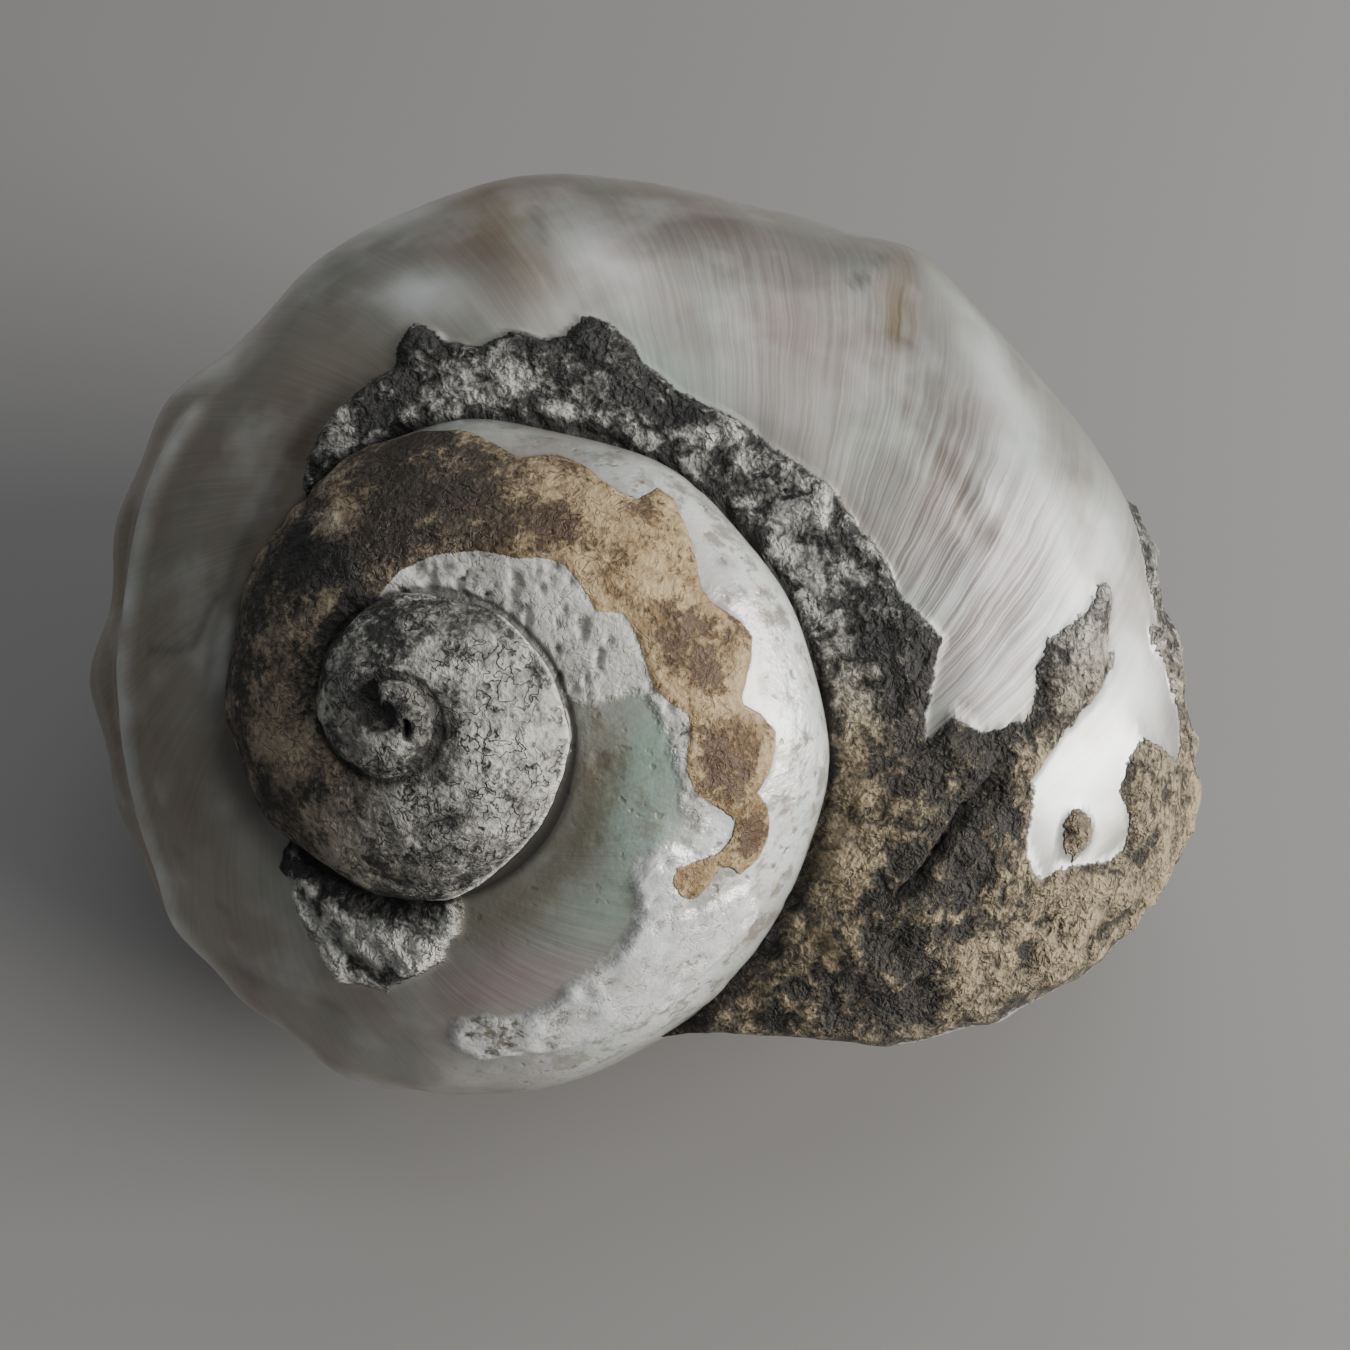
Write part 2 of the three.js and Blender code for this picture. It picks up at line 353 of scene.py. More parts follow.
@dataclass(frozen=True)
class Pose:
    """How the shell leans at rest."""

    lean: float = 32.1
    heading: float = 244.5
    spin: float = -2.0
    apex: tuple[float, float, float] = (-17.588, -19.231, 50.532)

    def place(self, points: np.ndarray) -> np.ndarray:
        """Lean points over and put them where the shell rests.

        Args:
            points: Points in mm with the axis upright and the apex at the origin.

        Returns:
            Points in mm on the table.
        """
        way = math.radians(self.heading)
        axis = Vector((-math.sin(way), math.cos(way), 0))
        turn = Matrix.Rotation(math.radians(self.lean), 3, axis)
        turn = turn @ Matrix.Rotation(math.radians(self.spin), 3, "Z")
        return points @ np.array(turn).T + np.array(self.apex)


# ---- Patches ----


class Layer(Enum):
    """Kinds of surface that are laid over the nacre."""

    CRUST = "crust"
    SKIN = "skin"
    CHALK = "chalk"
    MARGIN = "margin"
    SPIRE = "spire"
    WINDOW = "window"
    ISLAND = "island"


@dataclass(frozen=True)
class Patch:
    """An area of one kind of surface, outlined in stage and row."""

    layer: Layer
    outline: Points

    REACH = 9.0

    def distance(self, form: Form, t: np.ndarray, u: np.ndarray) -> np.ndarray:
        """Distance inside the outline.

        Args:
            form: The shell's form, for lengths in mm.
            t: Stages.
            u: Row values.

        Returns:
            Millimetres, above 0 inside and below 0 outside.
        """
        corners = np.array(self.outline)
        middle = corners.mean(0)
        along = np.linalg.norm(
            form.surface(middle[0] + 0.005, middle[1]) - form.surface(middle[0] - 0.005, middle[1])
        ) / 0.01
        down = np.linalg.norm(
            form.surface(middle[0], middle[1] + 0.01) - form.surface(middle[0], middle[1] - 0.01)
        ) / 0.02
        scale = np.array([along, down])
        ring = np.vstack([corners, corners[:1]]) * scale
        reach = self.REACH / scale
        near = (
            (t > corners[:, 0].min() - reach[0]) & (t < corners[:, 0].max() + reach[0])
            & (u > corners[:, 1].min() - reach[1]) & (u < corners[:, 1].max() + reach[1])
        )
        x, y = t[near] * along, u[near] * down
        least = to_path(x, y, ring)
        inside = np.zeros(x.shape, bool)
        for (ax, ay), (bx, by) in zip(ring[:-1], ring[1:]):
            if ay != by:
                inside ^= ((ay > y) != (by > y)) & (x < ax + (y - ay) * (bx - ax) / (by - ay))
        result = np.full(t.shape, -self.REACH)
        result[near] = np.where(inside, least, -least)
        return result


@dataclass(frozen=True)
class Tint:
    """A soft cloud of colour in the nacre."""

    colour: Colour
    stage: float
    row: float
    length: float
    width: float
    strength: float = 1.0


@dataclass(frozen=True)
class Stroke:
    """A thin dark line or stain along a path in stage and row."""

    path: Points
    width: float
    strength: float
    depth: float = 0.0


@dataclass(frozen=True)
class Wash:
    """A soft stripe of colour in the nacre, which may stand proud as a cord."""

    colour: Colour
    path: Points
    width: float
    strength: float
    raised: float = 0.0


@dataclass(frozen=True)
class Cloud:
    """A soft place where something is stronger, by stage and row."""

    stage: float
    row: float
    length: float
    width: float
    strength: float

    @classmethod
    def several(cls, *rows: tuple[float, ...]) -> "tuple[Cloud, ...]":
        """Make one cloud of each row of numbers."""
        return tuple(cls(*row) for row in rows)


PATCHES: tuple[Patch, ...] = (
    # Lump of crust under the seam, front left.
    Patch(Layer.CRUST, (
        (1.385, -0.05), (1.38, 0.1), (1.365, 0.1), (1.351, 0.15), (1.339, 0.2), (1.328, 0.24),
        (1.315, 0.3), (1.285, 0.29), (1.27, 0.23), (1.25, 0.17), (1.238, 0.12), (1.232, 0.05),
        (1.23, -0.05),
    )),
    # Band of crust that widens along the seam and covers the lip.
    Patch(Layer.CRUST, (
        (1.64, -0.05), (1.655, 0.04), (1.67, 0.09), (1.69, 0.13), (1.71, 0.16), (1.72, 0.16),
        (1.723, 0.22),
        (1.728, 0.27), (1.735, 0.25), (1.743, 0.2), (1.761, 0.17), (1.775, 0.2), (1.789, 0.18),
        (1.796, 0.2), (1.8, 0.26), (1.808, 0.26), (1.822, 0.22), (1.831, 0.18), (1.848, 0.15),
        (1.876, 0.15), (1.902, 0.16), (1.928, 0.18), (1.961, 0.19), (1.976, 0.21),
        (1.983, 0.24), (1.992, 0.21), (2.003, 0.19), (2.018, 0.17), (2.01, 0.22),
        (2.013, 0.28), (2.009, 0.38), (1.996, 0.41), (1.987, 0.45), (1.984, 0.52),
        (1.98, 0.57), (1.975, 0.62), (1.976, 0.66), (1.984, 0.63), (1.991, 0.6),
        (1.992, 0.65), (1.985, 0.7), (1.99, 0.84), (1.97, 0.84), (1.955, 0.88),
        (1.95, 1.05), (1.9, 1.25), (2.3, 1.3), (2.3, -0.05),
    )),
    # Island of crust in the bright window by the lip.
    Patch(Layer.ISLAND, (
        (2.033, 0.48), (2.036, 0.51), (2.04, 0.53), (2.044, 0.5), (2.042, 0.46), (2.037, 0.455),
    )),
    # Bright window of bare nacre by the lip.
    Patch(Layer.WINDOW, (
        (1.973, 0.68), (1.974, 0.78), (1.982, 0.8), (1.99, 0.77), (1.996, 0.82), (2.012, 0.84),
        (2.02, 0.79), (2.016, 0.72), (2.014, 0.65), (2.02, 0.6), (2.027, 0.58), (2.032, 0.61),
        (2.037, 0.62), (2.043, 0.61), (2.046, 0.57), (2.047, 0.51), (2.055, 0.42), (2.049, 0.38),
        (2.034, 0.39), (2.028, 0.39), (2.026, 0.37), (2.02, 0.4), (2.015, 0.43), (2.006, 0.5),
        (2.001, 0.55), (1.996, 0.6), (1.988, 0.66), (1.98, 0.69),
    )),
    # Brown skin on the second whorl, with a lobed lower edge.
    Patch(Layer.SKIN, (
        (0.6, 0.3), (0.7, 0.0), (0.723, 0.03), (0.747, 0.09), (0.788, 0.14), (0.824, 0.17),
        (0.856, 0.2), (0.872, 0.25), (0.885, 0.27), (0.91, 0.25), (0.927, 0.23), (0.937, 0.3),
        (0.964, 0.29), (0.981, 0.28), (0.994, 0.3), (1.007, 0.38), (1.028, 0.36),
        (1.041, 0.36), (1.052, 0.4), (1.058, 0.5), (1.061, 0.54), (1.069, 0.55), (1.078, 0.52),
        (1.083, 0.47), (1.093, 0.39), (1.103, 0.4), (1.106, 0.48), (1.104, 0.51),
        (1.086, 0.54), (1.083, 0.58), (1.085, 0.63), (1.076, 0.68), (1.067, 0.7),
        (1.058, 0.69), (1.05, 0.66), (1.045, 0.61), (1.033, 0.65), (1.015, 0.68),
        (1.009, 0.65), (1.002, 0.57), (0.997, 0.57), (0.99, 0.61), (0.981, 0.65), (0.969, 0.69),
        (0.961, 0.67), (0.948, 0.6), (0.938, 0.6), (0.92, 0.67), (0.898, 0.75), (0.889, 0.79),
        (0.88, 0.78), (0.879, 0.67), (0.87, 0.64), (0.856, 0.66), (0.843, 0.71), (0.827, 0.72),
        (0.81, 0.63), (0.793, 0.7), (0.775, 0.76), (0.744, 0.82), (0.7, 0.86), (0.62, 0.84),
    )),
    # Old granular surface of the spire.
    Patch(Layer.SPIRE, (
        (-1.6, -0.2), (-1.6, 1.2), (0.68, 1.2), (0.66, 0.9), (0.68, 0.75), (0.66, 0.6),
        (0.69, 0.3), (0.705, -0.2),
    )),
    # Pitted chalk between the seam and the brown skin, and in the skin's bays.
    Patch(Layer.CHALK, (
        (0.68, -0.2), (0.68, 0.1), (0.8, 0.35), (1.0, 0.42), (1.05, 0.5), (1.068, 0.44),
        (1.066, 0.39), (1.051, 0.34), (1.029, 0.3), (1.003, 0.29), (0.993, 0.24), (0.997, 0.14),
        (1.0, -0.2),
    )),
    # White pitted margin that trails off along the shoulder.
    Patch(Layer.MARGIN, (
        (1.084, 0.43), (1.086, 0.34), (1.1, 0.28), (1.115, 0.3), (1.12, 0.34), (1.133, 0.4),
        (1.153, 0.39), (1.168, 0.38), (1.192, 0.41), (1.211, 0.44), (1.235, 0.39),
        (1.249, 0.4), (1.254, 0.47), (1.244, 0.56), (1.223, 0.57), (1.2, 0.64), (1.155, 0.72),
        (1.125, 0.76), (1.1, 0.8), (1.09, 0.7), (1.1, 0.6), (1.112, 0.5),
    )),
)

BARE: Colour = (0.58, 0.57, 0.535)
TEAL: Colour = (0.55, 0.64, 0.59)
OLIVE: Colour = (0.46, 0.45, 0.38)
PINK: Colour = (0.60, 0.53, 0.53)
BEIGE: Colour = (0.54, 0.46, 0.36)
WHITE_AND_HIGHLIGHT: Colour = (0.90, 0.91, 0.90)
UMBER: Colour = (0.46, 0.405, 0.32)
TAUPE: Colour = (0.50, 0.46, 0.42)
ASH: Colour = (0.48, 0.47, 0.45)
MAUVE: Colour = (0.42, 0.34, 0.33)
SLATE: Colour = (0.30, 0.285, 0.28)
PALE_NACRE_AND_HIGHLIGHT: Colour = (0.86, 0.85, 0.82)
GRIME_AND_SHADE: Colour = (0.12, 0.10, 0.085)

# Clouds of colour in the nacre. The white clouds are painted highlights and glints where the glossy
# nacre catches the light, over nacre that is whiter by the margin.
TINTS: tuple[Tint, ...] = tuple(
    Tint(*row) for row in (
        # The umber, taupe and beige clouds on the left and upper left warm the nacre, and are
        # partly painted shade on the side turned from the light.
        (UMBER, 1.5, 0.45, 0.11, 0.5, 0.7), (UMBER, 1.64, 0.45, 0.05, 0.4, 0.5),
        (TAUPE, 1.33, 0.7, 0.07, 0.3, 0.75), (OLIVE, 1.1, 0.11, 0.07, 0.05),
        (OLIVE, 1.2, 0.1, 0.03, 0.08, 0.7), (TEAL, 1.045, 0.26, 0.045, 0.09, 0.8),
        (TEAL, 1.12, 0.27, 0.04, 0.06, 0.75), (PINK, 1.215, 0.31, 0.035, 0.08, 0.9),
        (WHITE_AND_HIGHLIGHT, 1.0, 0.8, 0.12, 0.14), (WHITE_AND_HIGHLIGHT, 1.12, 0.7, 0.08, 0.14),
        (WHITE_AND_HIGHLIGHT, 1.07, 0.46, 0.012, 0.07), (PINK, 1.85, 0.4, 0.03, 0.15, 0.5),
        (TEAL, 1.84, 0.2, 0.02, 0.08, 0.6), (ASH, 1.94, 0.4, 0.035, 0.2, 0.75),
        (SLATE, 1.962, 0.38, 0.024, 0.14, 1.0), (SLATE, 1.985, 0.35, 0.01, 0.12, 0.8),
        (TAUPE, 1.81, 0.6, 0.045, 0.3, 0.75), (MAUVE, 1.965, 0.4, 0.008, 0.13, 0.8),
        (MAUVE, 1.94, 0.35, 0.005, 0.12, 0.45), (MAUVE, 1.988, 0.4, 0.003, 0.1, 0.6),
        (BEIGE, 1.745, 0.65, 0.016, 0.25, 0.85), (WHITE_AND_HIGHLIGHT, 1.728, 0.37, 0.01, 0.06, 0.9),
        (WHITE_AND_HIGHLIGHT, 1.79, 0.45, 0.012, 0.06, 0.6), (WHITE_AND_HIGHLIGHT, 1.64, 0.62, 0.012, 0.07, 0.5),
        (WHITE_AND_HIGHLIGHT, 1.715, 0.75, 0.01, 0.07, 0.6), (WHITE_AND_HIGHLIGHT, 1.925, 0.62, 0.01, 0.1, 0.6),
        (WHITE_AND_HIGHLIGHT, 1.965, 0.64, 0.008, 0.12, 0.7), (WHITE_AND_HIGHLIGHT, 2.01, 0.6, 0.012, 0.25, 1.0),
        (MAUVE, 1.36, 0.55, 0.012, 0.1, 0.5), (MAUVE, 1.47, 0.58, 0.01, 0.12, 0.5),
        (BEIGE, 1.42, 0.75, 0.1, 0.1, 0.5),
    )
)

WASHES: tuple[Wash, ...] = (
    # Brown stain along the seam where the crust thins out.
    Wash((0.33, 0.27, 0.22), (
        (1.72, 0.15), (1.68, 0.12), (1.64, 0.08), (1.59, 0.03), (1.5, 0.01), (1.42, 0.01),
    ), 2.0, 0.85, 0.1),
    # Brown fold that runs down a growth line and then along the whorl: a brown stain, partly
    # painted shade in the fold under the shoulder knob.
    Wash((0.42, 0.35, 0.27), (
        (1.867, 0.8), (1.876, 0.68), (1.886, 0.58), (1.9, 0.46), (1.916, 0.4), (1.95, 0.39),
    ), 1.3, 0.6, -0.25),
    Wash((0.40, 0.33, 0.21), ((1.878, 0.67), (1.887, 0.57)), 1.2, 0.95, -0.4),
    # Painted highlight: a white stripe beside the fold, raised a little.
    Wash(WHITE_AND_HIGHLIGHT, ((1.89, 0.8), (1.91, 0.7), (1.935, 0.62), (1.97, 0.58)), 2.4, 0.5, 0.12),
    # Pale cord on the shoulder of the older part, with a hollow under it; its white is partly
    # painted highlight along the cord.
    Wash(WHITE_AND_HIGHLIGHT, (
        (1.29, 0.76), (1.34, 0.72), (1.386, 0.66), (1.417, 0.55), (1.453, 0.48), (1.5, 0.43),
        (1.531, 0.44), (1.57, 0.47), (1.62, 0.5),
    ), 1.1, 0.5, 0.55),
    Wash(MAUVE, (
        (1.386, 0.8), (1.417, 0.68), (1.453, 0.6), (1.5, 0.55), (1.531, 0.56), (1.57, 0.59),
    ), 1.3, 0.4, -0.5),
)

STROKES: tuple[Stroke, ...] = (
    Stroke(((1.38, 0.03), (1.44, 0.04), (1.5, 0.03)), 1.6, 0.6),
    Stroke(((1.5, 0.08), (1.57, 0.06), (1.62, 0.08), (1.66, 0.13)), 0.5, 0.3),
    # Slot by the apex.
    Stroke(((-0.93, 0.27), (-0.87, 0.37)), 0.28, 1.0, 0.8),
    Stroke(((1.565, 0.08), (1.53, 0.13), (1.525, 0.2), (1.523, 0.3)), 0.45, 0.4),
    Stroke(((1.775, 0.45), (1.765, 0.6)), 0.5, 0.3),
    Stroke(((1.372, 0.6), (1.358, 0.54)), 0.8, 0.45),
    Stroke(((1.32, 0.43), (1.312, 0.44)), 0.7, 0.3),
    Stroke(((1.425, 0.41), (1.42, 0.39)), 0.6, 0.3),
    Stroke(((1.39, 0.375), (1.386, 0.37)), 0.6, 0.3),
    Stroke(((1.868, 0.59), (1.868, 0.62)), 0.5, 0.8),
    Stroke(((1.867, 0.68), (1.865, 0.8)), 0.5, 0.4),
    # Small stains on the white margin.
    *(Stroke(path, 0.35, strength, 0.08) for path, strength in (
        (((0.929, 0.73), (0.931, 0.78)), 0.35), (((0.955, 0.84), (0.96, 0.88)), 0.35),
        (((1.013, 0.79), (1.018, 0.83)), 0.3), (((1.025, 0.78), (1.029, 0.81)), 0.3),
        (((1.033, 0.88), (1.036, 0.91)), 0.35), (((1.049, 0.73), (1.051, 0.75)), 0.3),
        (((0.873, 0.89), (0.888, 0.88)), 0.3),
    )),
    # Creases in the crust by the lip.
    Stroke(((2.03, 0.29), (2.036, 0.255), (2.046, 0.22), (2.06, 0.19), (2.072, 0.155)),
           0.32, 1.0, 1.0),
    Stroke(((2.114, 0.17), (2.105, 0.22), (2.094, 0.27)), 0.35, 0.8, 0.5),
)

# Soot that darkens the crust, the spire and the skin; the clouds on the spire at stages -0.6 to
# -0.26 are painted shade on the side turned from the light.
SOOT_AND_SHADE = Cloud.several(
    (0.33, 0.93, 0.14, 0.08, 0.6), (-0.26, 0.4, 0.05, 0.3, 0.5), (0.665, 0.24, 0.03, 0.07, 1.0),
    (0.655, 0.04, 0.04, 0.05, 0.9), (0.645, 0.44, 0.012, 0.07, 0.7),
    (0.52, 0.55, 0.1, 0.12, 0.45), (-0.35, 0.9, 0.08, 0.15, 0.5), (0.25, 0.5, 0.08, 0.3, 0.2),
    (-0.6, 0.9, 0.1, 0.2, 0.4), (-0.45, 0.4, 0.08, 0.4, 0.1), (0.5, 0.05, 0.06, 0.06, 0.5),
    (0.847, 0.39, 0.012, 0.07, 0.95), (0.768, 0.34, 0.03, 0.07, 0.55),
    (0.73, 0.6, 0.035, 0.25, 0.75), (0.79, 0.28, 0.03, 0.08, 0.5), (0.72, 0.3, 0.03, 0.12, 0.5),
    (0.856, 0.38, 0.014, 0.1, 0.6), (0.8, 0.5, 0.05, 0.25, 0.3), (1.23, 0.48, 0.02, 0.08, 0.65),
    (1.785, 0.12, 0.02, 0.05, 0.4), (0.89, 0.66, 0.008, 0.04, 0.5),
    (0.972, 0.47, 0.022, 0.05, 0.4), (1.026, 0.43, 0.009, 0.04, 0.8),
    (1.045, 0.52, 0.008, 0.05, 0.6), (1.065, 0.6, 0.008, 0.04, 0.6),
    (0.9, 0.45, 0.015, 0.05, 0.35), (1.3, 0.03, 0.08, 0.04, 1.0), (1.345, 0.06, 0.02, 0.03, 0.8),
    (1.276, 0.21, 0.012, 0.03, 0.7), (1.307, 0.23, 0.008, 0.03, 0.6),
    (1.735, 0.19, 0.02, 0.06, 0.8), (1.71, 0.1, 0.015, 0.06, 0.6), (1.8, 0.2, 0.015, 0.03, 0.5),
    (1.85, 0.11, 0.03, 0.05, 0.6), (1.95, 0.16, 0.08, 0.05, 0.6), (2.0, 0.25, 0.03, 0.12, 0.7),
    (2.05, 0.27, 0.03, 0.06, 0.9), (2.085, 0.16, 0.03, 0.05, 0.8), (2.1, 0.24, 0.02, 0.06, 0.5),
    (1.87, 0.0, 0.2, 0.02, 0.7),
)
# Pale or tan places in the same.
PALE = Cloud.several(
    (0.0, 0.5, 0.15, 0.4, 0.3), (0.0, 0.5, 0.06, 0.15, 0.5), (0.37, 0.45, 0.09, 0.35, 0.4),
    (1.92, 0.09, 0.04, 0.06, 0.4), (0.64, 0.14, 0.02, 0.06, 0.7), (0.685, 0.5, 0.015, 0.09, 0.6),
    (0.49, 0.38, 0.05, 0.09, 0.5), (0.58, 0.1, 0.03, 0.05, 0.4), (1.29, 0.13, 0.035, 0.05, 1.0),
    (1.32, 0.24, 0.018, 0.06, 1.0), (1.25, 0.1, 0.015, 0.05, 0.9),
    (1.357, 0.12, 0.012, 0.05, 0.9), (1.764, 0.09, 0.025, 0.05, 0.4),
    (1.808, 0.05, 0.03, 0.05, 0.35), (1.835, 0.03, 0.02, 0.03, 0.5),
    (1.945, 0.08, 0.02, 0.03, 0.4), (1.968, 0.04, 0.03, 0.03, 0.55), (1.9, 0.1, 0.02, 0.03, 0.35),
    (2.035, 0.06, 0.04, 0.06, 0.6), (2.08, 0.05, 0.03, 0.05, 0.5), (2.082, 0.31, 0.02, 0.05, 0.6),
    (2.062, 0.5, 0.015, 0.1, 0.6), (2.03, 0.39, 0.012, 0.03, 0.6), (2.03, 0.8, 0.03, 0.12, 0.6),
    (1.992, 0.55, 0.01, 0.07, 0.5), (0.77, 0.3, 0.03, 0.04, 0.5), (0.93, 0.45, 0.04, 0.15, 0.3),
)
# Crust that is thicker.
THICK = Cloud.several(
    (1.3, 0.13, 0.04, 0.08, 1.0), (1.75, 0.15, 0.05, 0.08, 0.6), (1.81, 0.15, 0.02, 0.08, 0.5),
    (2.06, 0.08, 0.08, 0.1, 0.4),
)
# Nacre with clear growth lines.
STRIAE = Cloud.several(
    (1.9, 0.35, 0.07, 0.2, 0.35), (1.965, 0.36, 0.025, 0.15, 0.9), (1.98, 0.6, 0.03, 0.25, 0.3),
    (1.2, 0.3, 0.06, 0.1, 0.25),
)
# Nacre with small pits and flakes.
FLECKS = Cloud.several(
    (1.03, 0.06, 0.05, 0.06, 1.0), (1.06, 0.2, 0.05, 0.12, 0.5), (0.98, 0.82, 0.14, 0.14, 1.0),
    (1.14, 0.75, 0.07, 0.18, 0.9), (1.09, 0.45, 0.03, 0.14, 0.8), (1.2, 0.08, 0.08, 0.08, 0.4),
)
# Painted highlight: a thin white line along the lit edge of the upper spire.
RIM_HIGHLIGHT: Points = ((-0.12, 0.985), (-0.03, 0.975), (0.06, 0.965), (0.15, 0.965), (0.25, 0.975))


@dataclass(frozen=True)
class ReliefSizes:
    """Heights of the surface relief in mm."""

    inset: float = 0.3
    crust: float = 0.65
    skin: float = 0.22
    pits: float = 0.34
    growth_lines: float = 0.025
    seam: float = 0.35
    seam_width: float = 0.4
    spire_grain: float = 0.32
    chalk: float = 0.12
    margin: float = 0.32
    swell: float = 0.45


class Relief:
    """Works out the patches and the height of the surface over the smooth form."""

    NOISE_SEED = 11
    FINE_SEED = 29

    def __init__(self, form: Form, sizes: ReliefSizes) -> None:
        """Keep the form and the relief's sizes."""
        self.form, self.sizes = form, sizes
        self.noise, self.fine = Noise(self.NOISE_SEED), Noise(self.FINE_SEED)

    def layers(self, t: np.ndarray, u: np.ndarray, points: np.ndarray) -> dict[Layer, np.ndarray]:
        """Distance inside each kind of patch.

        Args:
            t: Stages.
            u: Row values.
            points: The same places in space, in mm.

        Returns:
            Millimetres above 0 inside, with a ragged edge.
        """
        ragged = 0.5 * self.noise.layered(points, 2.6) + 0.2 * self.fine.layered(points, 0.9)
        found = {layer: np.full(t.shape, -Patch.REACH) for layer in Layer}
        for patch in PATCHES:
            area = patch.distance(self.form, t, u)
            found[patch.layer] = np.maximum(found[patch.layer], area)
        found[Layer.CRUST] = np.maximum(
            np.minimum(found[Layer.CRUST], -found[Layer.WINDOW]), found[Layer.ISLAND]
        )
        for layer in (Layer.CRUST, Layer.CHALK, Layer.MARGIN, Layer.SPIRE):
            found[layer] = found[layer] + ragged * (1.6 if layer is Layer.SPIRE else 1.0)
        found[Layer.SKIN] = found[Layer.SKIN] + 0.35 * ragged
        return found

    def line(self, path: Points, width: float, t: np.ndarray, u: np.ndarray) -> np.ndarray:
        """Closeness to a path.

        Args:
            path: The path in stage and row.
            width: Distance in mm at which it has faded to about a third.
            t: Stages.
            u: Row values.

        Returns:
            1 on the path, falling to 0 beside it.
        """
        points = np.array(path)
        arc = self.form.arc(points[:, 0].mean())
        scale = np.array([TURN * (arc.r + 0.8 * arc.size), arc.size * (arc.middle - arc.start)])
        near = (np.abs(t - points[:, 0].mean()) < 0.35) & (u < 1.05)
        away = to_path(t[near] * scale[0], u[near] * scale[1], points * scale)
        total = np.zeros(t.shape)
        total[near] = np.exp(-((away / width) ** 2))
        return total

    def stains_and_seam_shade(self, t: np.ndarray, u: np.ndarray) -> np.ndarray:
        """Strength of the thin dark lines: stains, creases and painted seam shade.

        Args:
            t: Stages.
            u: Row values.

        Returns:
            0 elsewhere, up to 1 on a line.
        """
        total = np.zeros(t.shape)
        for stroke in STROKES:
            total = np.maximum(total, stroke.strength * self.line(stroke.path, stroke.width, t, u))
        # Painted shade: a thin dark line along the seam, where one whorl tucks under the next.
        width = 0.16 + 0.026 * self.form.arc(t).size
        return np.maximum(total, 0.9 * np.exp(-((self.to_seam(t, u) / width) ** 2)))

    def to_seam(self, t: np.ndarray, u: np.ndarray) -> np.ndarray:
        """Distance from the seam, where one whorl meets the next.

        Args:
            t: Stages.
            u: Row values.

        Returns:
            Millimetres.
        """
        covered = t < self.form.growth.lip - 1
        rows = np.minimum(u, np.where(covered, 1.3 * np.abs(1 - u), 9.0))
        return rows * self.form.arc(t).size * 1.9

    @staticmethod
    def clouds(places: tuple[Cloud, ...], t: np.ndarray, u: np.ndarray) -> np.ndarray:
        """Add up soft clouds.

        Args:
            places: The clouds.
            t: Stages.
            u: Row values.

        Returns:
            Strength from 0 to about 1.
        """
        total = np.zeros(t.shape)
        for c in places:
            spread = ((t - c.stage) / c.length) ** 2 + ((u - c.row) / c.width) ** 2
            total = total + (1 - total) * c.strength * np.exp(-0.5 * spread)
        return total

    def tint(self, t: np.ndarray, u: np.ndarray, points: np.ndarray) -> np.ndarray:
        """Colour of the nacre.

        Args:
            t: Stages.
            u: Row values.
            points: The same places in space, in mm.

        Returns:
            Linear red, green, blue and alpha.
        """
        form = self.form
        colour = np.empty((*t.shape, 4))
        colour[...] = linear(BARE)
        g = t + form.lag_at(u) + 0.004 * self.noise.layered(points, 3.5)
        row = u + 0.04 * self.fine.layered(points, 5.0)
        for cloud in TINTS:
            middle = cloud.stage + form.lag_at(cloud.row)
            spread = ((g - middle) / cloud.length) ** 2 + ((row - cloud.row) / cloud.width) ** 2
            share = (cloud.strength * np.exp(-0.5 * spread))[..., None]
            colour = colour * (1 - share) + np.array(linear(cloud.colour)) * share
        uneven = 0.75 + 0.5 * self.fine.layered(points, 2.2)
        for wash in WASHES:
            share = wash.strength * self.line(wash.path, wash.width, t, u) * uneven
            share = np.clip(share, 0, 1)[..., None]
            colour = colour * (1 - share) + np.array(linear(wash.colour)) * share
        return colour

    def pits(self, points: np.ndarray) -> np.ndarray:
        """Pits of the chalk: 0 outside them, up to 1 in them."""
        return smooth(self.noise.layered(points + 40, 0.85, 2), 0.12, 0.5)

    def lumps(self, points: np.ndarray) -> np.ndarray:
        """Lumps of the crust, roughly -1 to 1, which its colour follows too."""
        return self.noise.layered(points, 2.6, 4)

